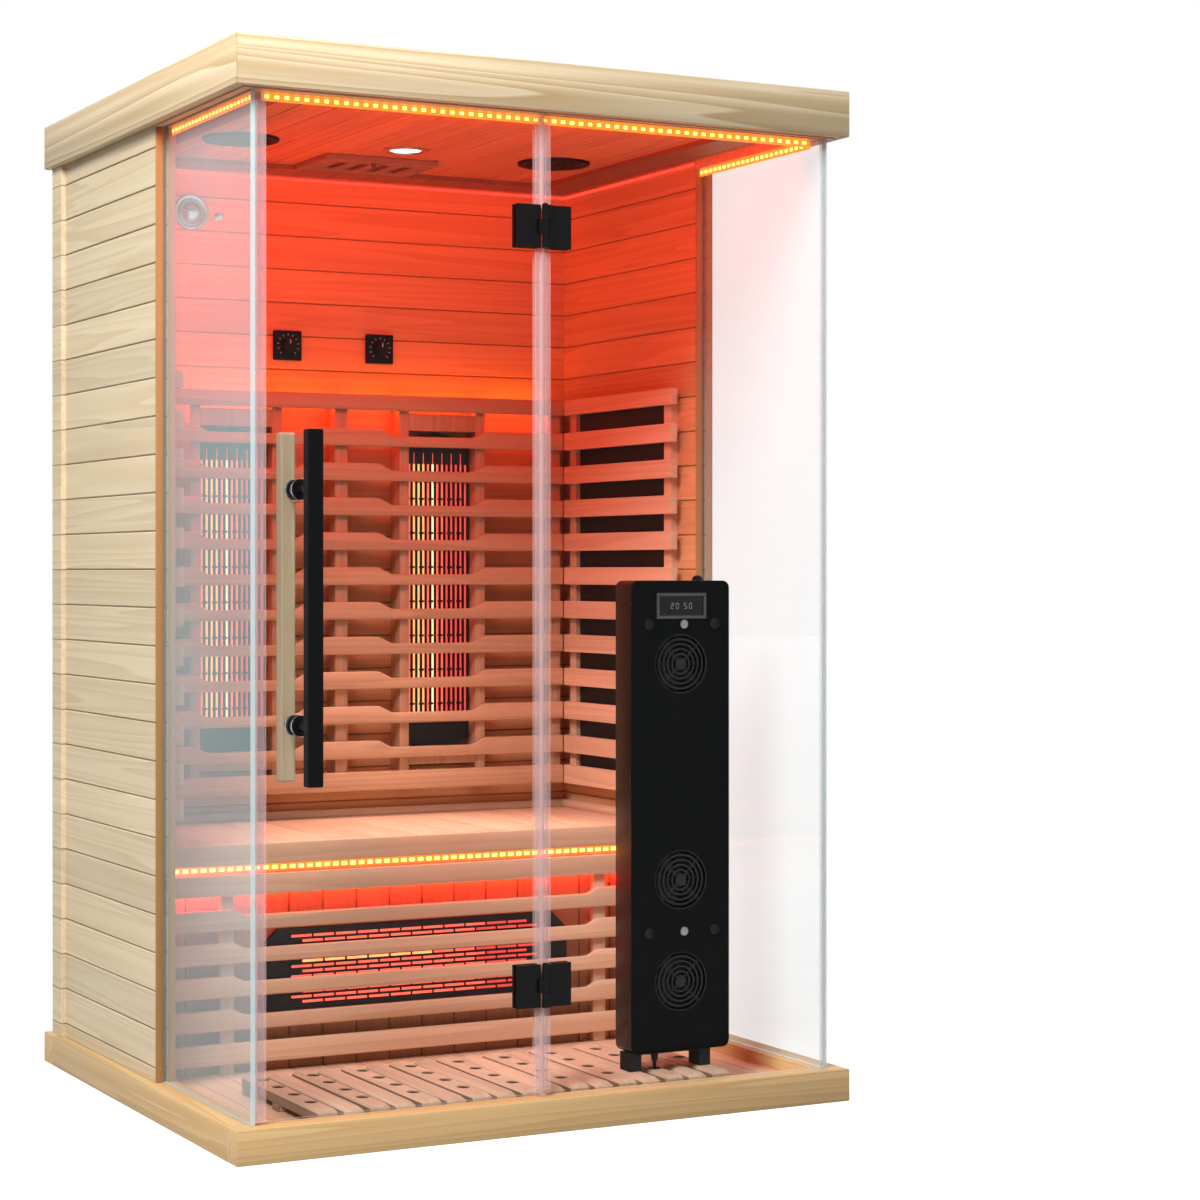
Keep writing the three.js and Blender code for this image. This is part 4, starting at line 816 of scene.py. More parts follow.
class SAUNA_OT_backrest(bpy.types.Operator):
    """Models the backrest's slats and the boards round its heaters"""

    bl_idname = "sauna.backrest"
    bl_label = "Backrest"

    def execute(self, context):
        s = sizes()
        low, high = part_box("backrest_guard")
        rear = low.y + s.guard_depth
        bm = bmesh.new()

        def slat(bottom, top, places):
            dipped_slat(
                bm, Vector((low.x, low.y, bottom)), Vector((high.x, rear, top)), s.slat_edge,
                places, s.guard_dip, s.guard_dip_flat, s.guard_dip_ramp,
            )

        slat(high.z - s.guard_rail_height, high.z, [])
        slat(low.z, low.z + s.guard_foot_height, [])
        top = s.guard_slat_top
        while top - s.guard_slat_height > low.z + s.guard_foot_height:
            slat(top - s.guard_slat_height, top, [-s.guard_dip_place, s.guard_dip_place])
            top -= s.guard_slat_pitch
        slats = boards("rest", "X", "Z", s.guard_slat_pitch, low.z)
        piece("backrest_slats", bm, slats, "inner_wood", stands_for=["backrest_guard"])
        self.posts(s, low, high, rear)
        for node in ("left_side_guard", "right_side_guard"):
            dress(node, boards("warm", "Y", "Z", s.guard_slat_pitch, low.z), s.board_edge)
        return {"FINISHED"}

    def posts(self, s, low, high, rear):
        """Posts behind the slats, and the boards round each heater."""
        bm = bmesh.new()
        front = rear + TOUCH

        def post(x0, x1, z0, z1):
            block(bm, (x0, front, z0), (x1, high.y, z1), s.board_edge)

        post(-s.guard_post / 2, s.guard_post / 2, low.z, high.z)
        post(low.x, low.x + s.guard_post, low.z, high.z)
        post(high.x - s.guard_post, high.x, low.z, high.z)
        for node in ("left_back_heater", "right_back_heater"):
            heater_low, heater_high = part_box(node)
            inner = (heater_low.x - s.heater_gap, heater_high.x + s.heater_gap)
            outer = (inner[0] - s.heater_wall, inner[1] + s.heater_wall)
            post(outer[0], inner[0], low.z, high.z)
            post(inner[1], outer[1], low.z, high.z)
            over = heater_high.z + s.heater_gap
            under = heater_low.z - s.heater_gap
            post(inner[0], inner[1], over, over + s.heater_board)
            post(inner[0], inner[1], under - s.heater_board, under)
        piece("backrest_posts", bm, boards("rest", "Z"), "inner_wood", stands_for=["backrest_guard"])


class SAUNA_OT_bench(bpy.types.Operator):
    """Finishes the bench and models the slats in front of it"""

    bl_idname = "sauna.bench"
    bl_label = "Bench"

    def execute(self, context):
        s = sizes()
        self.seat(s)
        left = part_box("bench_kickboard")[0].x
        # The kickboard finish is painted shade under the seat and painted red light, not a darker wood.
        dress("bench_kickboard", boards("kick", "Z", "X", s.board_pitch, left, seam=s.seam))
        low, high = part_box("bench_guard")
        rear = low.y + s.bench_guard_depth
        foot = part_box("base_tray")[1].z - 0.003
        bm = bmesh.new()

        def slat(bottom, top, places):
            dipped_slat(
                bm, Vector((low.x, low.y, bottom)), Vector((high.x, rear, top)), s.slat_edge,
                places, s.bench_dip, s.bench_dip_flat, s.bench_dip_ramp,
            )

        slat(s.bench_rail_top - s.bench_slat_height, s.bench_rail_top, [])
        slat(foot, foot + s.bench_slat_height, [])
        for i in range(4):
            top = s.bench_slat_top - i * s.bench_slat_pitch
            slat(top - s.bench_slat_height, top, [0.0])
        slats = boards("warm", "X", "Z", s.bench_slat_pitch, low.z)
        piece("bench_slats", bm, slats, "inner_wood", stands_for=["bench_guard"])
        bm = bmesh.new()
        inner = s.bench_dip_flat / 2 + s.bench_dip_ramp + 0.007
        half = s.guard_post / 2
        for x in (low.x + half, -inner, inner, high.x - half):
            block(bm, (x - half, rear + TOUCH, low.z), (x + half, high.y, high.z), s.board_edge)
        piece("bench_posts", bm, boards("warm", "Z"), "inner_wood", stands_for=["bench_guard"])
        return {"FINISHED"}

    def seat(self, s):
        """Boards from front to back, behind a nosing and between low strips on three sides."""
        ledger = 0.025
        low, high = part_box("bench_seat")
        strip = s.bench_strip
        top = high.z - strip
        bottom = top - s.bench_board
        bm = bmesh.new()
        block(bm, (low.x, low.y, top - s.bench_nosing), (high.x, low.y + s.bench_board, top), s.slat_edge)
        block(bm, (low.x, high.y - strip, top), (high.x, high.y, high.z), s.board_edge)
        block(bm, (low.x, high.y - ledger, low.z), (high.x, high.y, bottom - TOUCH), s.board_edge)
        split = len(bm.faces)
        front = low.y + s.bench_board + ROOM
        x = low.x
        while x < high.x - 0.001:
            end = min(x + s.bench_board_pitch, high.x)
            block(bm, (x, front, bottom), (end - s.seam, high.y, top - TOUCH), s.board_edge)
            x = end
        for x in (low.x, high.x - strip):
            block(bm, (x, low.y + 0.001, top), (x + strip, high.y - strip - TOUCH, high.z), s.board_edge)
        paint_faces(bm, split, 1)
        finish = [boards("warm", "X"), boards("warm", "Y", "X", s.bench_board_pitch, low.x)]
        piece("bench_boards", bm, finish, "inner_wood", stands_for=["bench_seat"])


class SAUNA_OT_duckboard(bpy.types.Operator):
    """Models the slatted foot board with its round holes"""

    bl_idname = "sauna.duckboard"
    bl_label = "Duckboard"

    def execute(self, context):
        s = sizes()
        low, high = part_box("duckboard")
        middle_x = (low.x + high.x) / 2
        run = high.y - low.y
        count = round((high.x - low.x - s.duck_slat) / s.duck_pitch) + 1
        holes, bearers, bearer_half = [0.077, 0.155, 0.233, 0.309], (0.037, 0.194, 0.347), 0.015
        rim, base = s.duck_hole - TOUCH, high.z - 0.0026
        # Dark discs set just below the top of each hole: painted shade in the open holes, borrowing the black
        # rubber finish.
        hole_shade_profile = [(0, 0.002), (rim * 0.7, 0.0015), (rim, 0), (rim, -0.006), (0, -0.006)]
        bm, hole_shades = bmesh.new(), bmesh.new()
        for i in range(count):
            places = holes if i % 2 == 0 else []
            part = holed_plate(s.duck_slat, run, places, s.duck_hole, s.duck_thickness)
            ends = [
                e for e in part.edges
                if all(v.co.z > s.duck_thickness / 2 for v in e.verts)
                and all(min(v.co.y, run - v.co.y) < 1e-6 for v in e.verts)
            ]
            round_over(part, ends, s.duck_chamfer, segments=1)
            round_over(part, sharp_edges(part, 0.7), 0.0010, segments=1)
            x = middle_x + (i - (count - 1) / 2) * s.duck_pitch
            for place in places:
                turn(hole_shades, hole_shade_profile, (x, low.y + place, base), Z, 20)
            bmesh.ops.translate(part, verts=part.verts, vec=(x, low.y, high.z - s.duck_thickness))
            take_in(bm, part)
        bottom = high.z - s.duck_thickness - TOUCH
        for place in bearers:
            y = low.y + place
            block(bm, (low.x, y - bearer_half, low.z), (high.x, y + bearer_half, bottom), s.board_edge)
        # The dark seams here colour the sides of the slats and a thin band along their top edges: painted shade
        # in the gaps between the slats.
        seam = (s.duck_pitch - s.duck_slat) / 2 + 0.0006
        slats = boards("duck", "Y", "X", s.duck_pitch, middle_x + (count / 2) * s.duck_pitch, seam=seam)
        piece("duckboard_slats", bm, slats, "inner_wood", stands_for=["duckboard"])
        piece("duckboard_hole_shades", hole_shades, black_rubber(), "rubber")
        return {"FINISHED"}


class SAUNA_OT_heaters(bpy.types.Operator):
    """Models the glowing rods of the wall heaters and of the bench heater"""

    bl_idname = "sauna.heaters"
    bl_label = "Heaters"

    def execute(self, context):
        s, f = sizes(), finishes()
        plate = speckled("heater plate", f.black, 0.6, scale=250.0, bump=0.15)
        for place in ("left_back", "right_back", "bench", "left_side", "right_side"):
            dress(f"{place}_heater", plate)
        rods = [
            glow("heater rod", f.rod, f.rod_glow),
            glow("warm heater rod", f.rod_warm, f.rod_glow * 1.3),
            glow("hot heater rod", f.rod_hot, f.rod_glow * 1.7),
            glow("dim heater rod", f.rod_dim, f.rod_glow * 0.8),
        ]
        for side in ("left", "right"):
            self.wall_rods(s, side, rods, plate)
        self.bench_dashes(rods)
        return {"FINISHED"}

    def wall_rods(self, s, side, rods, plate):
        """Upright rods of several tints, with pins at their tops and clips across them."""
        low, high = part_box(f"{side}_back_heater")
        centre = (low.x + high.x) / 2
        tints = [0, 1, 1, 1, 0, 2, 0, 0, 3, 3, 3, 3, 3]
        margin, pin_length = 0.068, 0.024
        clip_x, clip_z, clip_depth = 0.0060, 0.0024, 0.0036
        bottom, top = low.z + margin, high.z - margin
        front = low.y - s.rod_radius - ROOM
        bm = bmesh.new()
        for i, tint in enumerate(tints):
            x = centre + (i - (len(tints) - 1) / 2) * s.rod_pitch
            start = len(bm.faces)
            profile = [(0, bottom), (s.rod_radius, bottom), (s.rod_radius, top), (0, top)]
            turn(bm, profile, (x, front, 0), Z, 10)
            paint_faces(bm, start, tint)
            if i % 2:
                start = len(bm.faces)
                pin, tip = s.rod_radius * 0.5, top + pin_length
                turn(bm, [(0, top), (pin, top), (pin, tip), (0, tip)], (x, front, 0), Z, 8)
                paint_faces(bm, start, 3)
        piece(f"{side}_heater_rods", bm, rods, "heater_black")
        bm = bmesh.new()
        row_pitch = s.guard_slat_pitch / 2
        rows = int((top - bottom) / row_pitch)
        for row in range(rows):
            z = bottom + (row + 0.6) * row_pitch
            for i in range(row % 2, len(tints) - 1, 2):
                x = centre + (i + 0.5 - (len(tints) - 1) / 2) * s.rod_pitch
                near = (x - clip_x, front - clip_depth, z - clip_z)
                block(bm, near, (x + clip_x, low.y - 0.0001, z + clip_z), 0.0006)
        piece(f"{side}_heater_clips", bm, plate, "heater_black")

    def bench_dashes(self, rods):
        """Rows of short level rods, every second row shifted by half a rod."""
        low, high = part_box("bench_heater")
        rows, pitch, dash, gap, half = 14, 0.0098, 0.0420, 0.0045, 0.270
        depth, half_z, warm_row, dim_from = 0.0032, 0.0024, 8, 0.12
        bm = bmesh.new()
        for row in range(rows):
            z = (low.z + high.z) / 2 + (row - (rows - 1) / 2) * pitch
            x = -half + (0.0 if row % 2 else (dash + gap) / 2)
            while x + dash <= half + 1e-6:
                start = len(bm.faces)
                near = (x, low.y - depth, z - half_z)
                block(bm, near, (x + dash, low.y - TOUCH, z + half_z), 0.0009)
                paint_faces(bm, start, 1 if row == warm_row and x < 0 else (0 if x < dim_from else 3))
                x += dash + gap
        piece("bench_heater_dashes", bm, rods, "heater_black")


class SAUNA_OT_glazing(bpy.types.Operator):
    """Finishes the panes, their seals and the hinges"""

    bl_idname = "sauna.glazing"
    bl_label = "Glass and hinges"

    def execute(self, context):
        s, f = sizes(), finishes()
        # The side panes carry a stronger veil on their faces: painted reflection of the white surroundings.
        dress("left_glass", pane("left glass", f.glass, 0.21, 0.85, "X"))
        dress("right_glass", pane("right glass", f.glass, 0.15, 0.85, "X"))
        front = pane("front glass", f.glass, 0.002, 0.28, "Y")
        dress("front_glass", front)
        dress("door_glass", front)
        dress("corner_profile", pane("corner profile", (0.80, 0.80, 0.84), 0.20, 0.36, "Y"), 0.0004)
        seal = pane("clear seal", (0.92, 0.68, 0.68), 0.19, 0.62, "Y")
        for node in ("door_seal", "gap_seal"):
            dress(node, seal, 0.0004)
        self.lips(s, seal)
        for end in ("upper", "lower"):
            for part in ("door_leaf", "fixed_leaf", "pin"):
                dress(f"{end}_hinge_{part}", black_paint(), 0.0008 if part != "pin" else 0.0)
            self.screws(end)
        return {"FINISHED"}

    def lips(self, s, seal):
        """Clear strips on both faces of the panes, along the joint with the hinges and clear of these."""
        thickness, clear = 0.0012, 0.001
        pane_low, pane_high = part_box("door_glass")
        joint = pane_high.x
        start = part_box("gap_seal")[1].x + TOUCH
        stops = [pane_low.z]
        for end in ("lower", "upper"):
            low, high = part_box(f"{end}_hinge_door_leaf")
            stops += [low.z - clear, high.z + clear]
        stops.append(pane_high.z)
        runs = list(zip(stops[::2], stops[1::2]))
        for name, x0, x1, body in (
            ("door_lips", joint - s.seal_lip, joint, DOOR),
            ("pane_lips", start, start + s.seal_lip * 0.7, CABIN),
        ):
            bm = bmesh.new()
            for y in (pane_low.y - ROOM - thickness, pane_high.y + ROOM):
                for low, high in runs:
                    block(bm, (x0, y, low), (x1, y + thickness, high), 0.0003)
            piece(name, bm, seal, "seal", body)

    def screws(self, end):
        """Two countersunk screws in the inner plate of each hinge leaf."""
        inset, spread = 0.016, 0.024
        for part, body in (("door_leaf", DOOR), ("fixed_leaf", CABIN)):
            low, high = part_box(f"{end}_hinge_{part}")
            away = low.x + inset if part == "door_leaf" else high.x - inset
            bm = bmesh.new()
            for z in (-spread, spread):
                centre = Vector((away, high.y, (low.z + high.z) / 2 + z))
                profile = [(0, 0.0006), (0.0016, 0.0006), (0.0019, 0.0014), (0.0045, 0.0014)]
                turn(bm, profile + [(0.0052, TOUCH), (0, TOUCH)], centre, Y, 24)
            piece(f"{end}_{part}_screws", bm, bright_steel(), "steel", body)


class SAUNA_OT_handle(bpy.types.Operator):
    """Finishes the door handle and models its studs"""

    bl_idname = "sauna.handle"
    bl_label = "Door handle"

    def execute(self, context):
        f = finishes()
        bar = speckled("handle black", f.black, 0.55, scale=1200.0, shine=0.08, bump=0.1)
        dress("outer_handle", bar, 0.0025)
        grip = wood("handle wood", (0.56, 0.45, 0.29), (0.40, 0.28, 0.16), "Z", figure=0.5)
        dress("inner_handle", grip, 0.004)
        glass_low, glass_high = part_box("door_glass")
        ring = [(0.0172, 0.0085), (0.0186, 0.0088), (0.0186, 0.0112), (0.0172, 0.0115), (0.0172, 0.0085)]
        for node in ("upper_handle_stud", "lower_handle_stud"):
            low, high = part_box(node)
            origin = axis_point(node, Y)
            bm = bmesh.new()
            turn(bm, self.half(low.y, glass_low.y - ROOM, -1), origin, Y, 40)
            turn(bm, self.half(high.y, glass_high.y + ROOM, 1), origin, Y, 40)
            start = len(bm.faces)
            for y, way in ((glass_low.y, -1), (glass_high.y, 1)):
                turn(bm, [(r, y + way * d) for r, d in ring], origin, Y, 40)
            paint_faces(bm, start, 1)
            piece(f"{node}_turned", bm, [black_paint(), bright_steel()], "black_metal", DOOR, [node])
        return {"FINISHED"}

    def half(self, end, glass, way):
        """One side of a stud: a collar on the glass and a rod with a neck."""
        steps = [(0.0, 0.0), (0.0172, 0.0), (0.018, 0.0008), (0.018, 0.0115), (0.0168, 0.0123)]
        steps += [(0.0090, 0.0123), (0.0080, 0.0140), (0.0080, 0.0200), (0.0068, 0.0206)]
        steps += [(0.0068, 0.0226), (0.0080, 0.0232)]
        points = [(r, glass + way * d) for r, d in steps]
        return points + [(0.0080, end), (0.0, end)]


class SAUNA_OT_light_strips(bpy.types.Operator):
    """Models the light strips under the roof, behind the backrest and under the bench"""

    bl_idname = "sauna.light_strips"
    bl_label = "Light strips"

    def execute(self, context):
        s = sizes()
        self.tape = glow("amber tape", (1.0, 0.21, 0.016), 1.6)
        self.header(s)
        self.bench(s)
        self.hidden(s)
        return {"FINISHED"}

    def lamps(self, bm, s, from_point, to_point, half_size):
        """Small lamps in a row between two points."""
        from_point, to_point = Vector(from_point), Vector(to_point)
        count = int((to_point - from_point).length / s.lamp_pitch)
        half_size = Vector(half_size)
        for i in range(count):
            place = from_point.lerp(to_point, (i + 0.5) / count)
            block(bm, place - half_size, place + half_size, 0.0008)

    def header(self, s):
        """The amber tape under the front and side rails of the canopy."""
        low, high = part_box("canopy_header")
        pane_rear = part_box("front_glass")[1].y
        left_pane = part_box("left_glass")[1].x
        rail, gap, thickness, height = 0.038, 0.004, 0.0025, 0.015
        half_length, half_depth, half_height, proud = 0.0040, 0.0012, 0.0030, 0.0008
        front_y = (pane_rear + low.y + rail) / 2
        side_x = (left_pane + low.x + rail) / 2
        ends = (low.x + rail + gap, high.x - rail - gap)
        runs = [("front", Vector((ends[0], front_y, 0)), Vector((ends[1], front_y, 0)), Y)]
        for name, x in (("left", side_x), ("right", -side_x)):
            runs.append((name, Vector((x, low.y + rail + gap, 0)), Vector((x, high.y - gap, 0)), X))
        top, drop = Z * (low.z - ROOM), Z * height
        for name, start, end, face in runs:
            along = (end - start).normalized()
            bm = bmesh.new()
            block(bm, start + top - drop, end + top + face * thickness, 0.0005)
            split = len(bm.faces)
            place = top - drop * 0.5 - face * proud
            half_size = along * half_length + face * half_depth + Z * half_height
            self.lamps(bm, s, start + place, end + place, half_size)
            paint_faces(bm, split, 1)
            piece(f"{name}_canopy_lights", bm, [self.tape, amber_lamp()], "led_red")

    def bench(self, s):
        """The amber tape under the front edge of the bench, on the posts behind it."""
        guard_low, guard_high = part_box("bench_guard")
        top = guard_high.z - 0.001
        y = guard_low.y + s.bench_guard_depth - ROOM
        half, thickness, depth, red_height = 0.0062, 0.0016, 0.0030, 0.0028
        centre_z = top - half
        bm = bmesh.new()
        near = (guard_low.x, y - thickness, centre_z - half)
        block(bm, near, (guard_high.x, y, centre_z + half), 0.0005)
        split = len(bm.faces)
        place = (y - depth, centre_z)
        self.lamps(bm, s, (guard_low.x, *place), (guard_high.x, *place), (0.0055, 0.0013, 0.0036))
        paint_faces(bm, split, 1)
        split = len(bm.faces)
        foot = centre_z - half - ROOM
        block(bm, (guard_low.x, y - depth, foot - red_height), (guard_high.x, y, foot), 0.0005)
        paint_faces(bm, split, 2)
        piece("bench_lights", bm, [self.tape, amber_lamp(), red_lamp()], "led_red")

    def hidden(self, s):
        """Tapes that are only seen by the light that they throw on the wall boards."""
        low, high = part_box("backrest_guard")
        rear = low.y + s.guard_depth
        foot = high.z - s.guard_rail_height
        warm = glow("warm wash", (1.0, 0.30, 0.03), 5.0)
        ends = (low.x + 0.03, high.x - 0.03)
        self.tape_behind("backrest_upper_light", warm, ends, rear, high.z - 0.010, high.z - 0.001)
        self.tape_behind("backrest_lower_light", red_lamp(), ends, rear, foot + 0.001, foot + 0.010)
        low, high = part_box("bench_guard")
        rear = low.y + s.bench_guard_depth
        foot = s.bench_rail_top - s.bench_slat_height
        self.tape_behind("bench_lower_light", red_lamp(), (low.x, high.x), rear, foot + 0.002, foot + 0.012)
        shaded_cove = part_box("ceiling_panel")[0].z
        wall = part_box("back_wall")[0].y
        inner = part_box("left_wall")[1].x
        thin, bottom, top = 0.003, shaded_cove - 0.008, shaded_cove - 0.002
        bm = bmesh.new()
        block(bm, (inner + 0.001, wall - thin - ROOM, bottom), (-inner - 0.001, wall - ROOM, top), 0.0004)
        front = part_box("left_wall")[0].y
        for x0, x1 in ((inner + ROOM, inner + thin), (-inner - thin, -inner - ROOM)):
            block(bm, (x0, front + 0.004, bottom), (x1, wall - thin - 0.001, top), 0.0004)
        piece("ceiling_edge_light", bm, glow("red edge light", (1.0, 0.07, 0.045), 1.2), "led_red")

    def tape_behind(self, name, material, ends, rear, bottom, top):
        """A thin tape on the rear of a rail."""
        bm = bmesh.new()
        block(bm, (ends[0], rear + ROOM, bottom), (ends[1], rear + 0.0020, top), 0.0003)
        piece(name, bm, material, "led_red")


class SAUNA_OT_ceiling_fittings(bpy.types.Operator):
    """Models the speakers and the downlight and finishes the vent"""

    bl_idname = "sauna.ceiling_fittings"
    bl_label = "Ceiling fittings"

    def execute(self, context):
        s = sizes()
        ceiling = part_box("vent_frame")[1].z + ROOM
        rings, first, pitch = 5, 0.012, 0.0105
        for node in ("left_speaker", "right_speaker"):
            low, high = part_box(node)
            rim = (high.x - low.x) / 2
            profile = [(0.0, ceiling - 0.0045), (0.010, ceiling - 0.0042)]
            for ring in range(rings):
                radius = first + ring * pitch
                profile += [(radius, ceiling - 0.0018), (radius + 0.003, ceiling - 0.0018)]
                profile += [(radius + 0.004, ceiling - 0.0040), (radius + 0.009, ceiling - 0.0040)]
            profile += [(rim - 0.008, ceiling - 0.0050), (rim - 0.004, low.z), (rim - 0.001, low.z + 0.001)]
            profile += [(rim, low.z + 0.003), (rim, ceiling - ROOM), (rim - 0.017, ceiling - ROOM)]
            profile += [(rim - 0.017, high.z), (0.0, high.z)]
            place = axis_point(node, Z)
            turned(f"{node}_turned", profile, place, Z, 64, black_plastic(), "black_plastic", CABIN, [node])
        self.downlight(ceiling)
        vent = wood("vent wood", (0.27, 0.20, 0.14), (0.18, 0.13, 0.085), "X")
        dress("vent_frame", vent, s.board_edge)
        shutter = wood("shutter wood", (0.14, 0.10, 0.07), (0.10, 0.07, 0.045), "X")
        dress("vent_slider", shutter, 0.0005)
        return {"FINISHED"}

    def downlight(self, ceiling):
        """A steel rim in the ceiling with a lit lens in it."""
        low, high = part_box("downlight")
        centre = axis_point("downlight", Z)
        rim = (high.x - low.x) / 2
        lens = 0.033
        profile = [(lens + 0.0004, low.z + 0.002), (lens + 0.001, low.z), (rim - 0.003, low.z)]
        profile += [(rim, low.z + 0.002), (rim, ceiling - ROOM)]
        profile += [(lens + 0.0008, ceiling - ROOM), (lens + 0.0008, high.z)]
        profile += [(lens - 0.001, high.z), (lens - 0.001, low.z + 0.003), (lens + 0.0004, low.z + 0.002)]
        finish = ("steel", CABIN, ["downlight"])
        turned("downlight_rim", profile, centre, Z, 56, bright_steel(), *finish)
        profile = [(0.0, low.z + 0.0005), (lens * 0.5, low.z + 0.0008), (lens - 0.0014, low.z + 0.002)]
        profile += [(lens - 0.0014, low.z + 0.006), (0.0, low.z + 0.006)]
        white = glow("white lamp", (1.0, 0.90, 0.84), 3.0)
        turned("downlight_lens", profile, centre, Z, 48, white, *finish)


class SAUNA_OT_wall_fittings(bpy.types.Operator):
    """Models the dials, the lamp and the hook on the back wall"""

    bl_idname = "sauna.wall_fittings"
    bl_label = "Wall fittings"

    def execute(self, context):
        mark = speckled("pale marks", (0.75, 0.75, 0.72), 0.5)
        for side in ("left", "right"):
            dress(f"{side}_dial_plate", black_plastic(), 0.002)
            self.ticks(side, mark)
            self.knob(side, mark)
        self.lamp()
        self.hook()
        return {"FINISHED"}

    def ticks(self, side, mark):
        """Short marks round the dial, from one end of its turn to the other."""
        node = f"{side}_dial_plate"
        centre = axis_point(node, Y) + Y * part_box(node)[0].y
        count, reach = 11, 270
        bm = bmesh.new()
        for i in range(count):
            degrees = (i / (count - 1) - 0.5) * reach
            spoke(bm, (-0.0005, -0.0004, 0.0205), (0.0005, 0.0001, 0.0245), degrees, centre)
        piece(f"{side}_dial_ticks", bm, mark, "steel")

    def knob(self, side, mark):
        """A skirted knob with a pale pointer."""
        node = f"{side}_dial_knob"
        low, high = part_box(node)
        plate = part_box(f"{side}_dial_plate")[0].y
        centre = axis_point(node, Y)
        radius = (high.x - low.x) / 2
        face = low.y + 0.0012
        seat = plate - 0.0004
        bm = bmesh.new()
        profile = [(0, face), (radius - 0.005, face), (radius - 0.0035, face + 0.0015)]
        profile += [(radius - 0.0022, seat - 0.005), (radius - 0.0005, seat - 0.0042)]
        profile += [(radius, seat - 0.0032), (radius, seat), (0.0038, seat), (0.0038, high.y), (0, high.y)]
        turn(bm, profile, centre, Y, 48)
        start = len(bm.faces)
        near = Vector((-0.0009, face - 0.0010, 0.003))
        block(bm, centre + near, centre + Vector((0.0009, face + 0.0004, radius - 0.0055)), 0.0003)
        paint_faces(bm, start, 1)
        piece(f"{node}_turned", bm, [black_plastic(), mark], "black_plastic", f"dial_{side}", [node])

    def lamp(self):
        """A round lamp: a ring on the wall with a dome in it."""
        low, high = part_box("wall_lamp")
        radius = (high.x - low.x) / 2
        ring, dome, rise, steps = 0.009, 0.024, 0.0155, 12
        profile = [(0, ring), (radius, ring), (radius, 0.002), (radius - 0.002, 0)]
        profile += [(radius - 0.006, -0.0005), (0.028, 0.001), (0.026, 0.003), (0.0245, 0.001)]
        for step in range(steps):
            angle = step / steps * math.pi / 2
            profile.append((dome * math.cos(angle), -rise * math.sin(angle)))
        profile.append((0.0, -rise))
        centre = axis_point("wall_lamp", Y) + Y * (high.y - ring)
        finish = (bright_steel(), "steel", CABIN, ["wall_lamp"])
        turned("wall_lamp_turned", profile, centre, Y, 56, *finish)

    def hook(self):
        """A small turned hook beside the lamp."""
        lamp = middle("wall_lamp")
        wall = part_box("back_wall")[0].y
        centre = (lamp.x + 0.060, wall, lamp.z - 0.006)
        profile = [(0, -TOUCH), (0.008, -TOUCH), (0.008, -0.002), (0.004, -0.004), (0.0035, -0.012)]
        profile += [(0.006, -0.015), (0.006, -0.018), (0, -0.0195)]
        turned("wall_hook", profile, centre, Y, 32, bright_steel(), "steel")


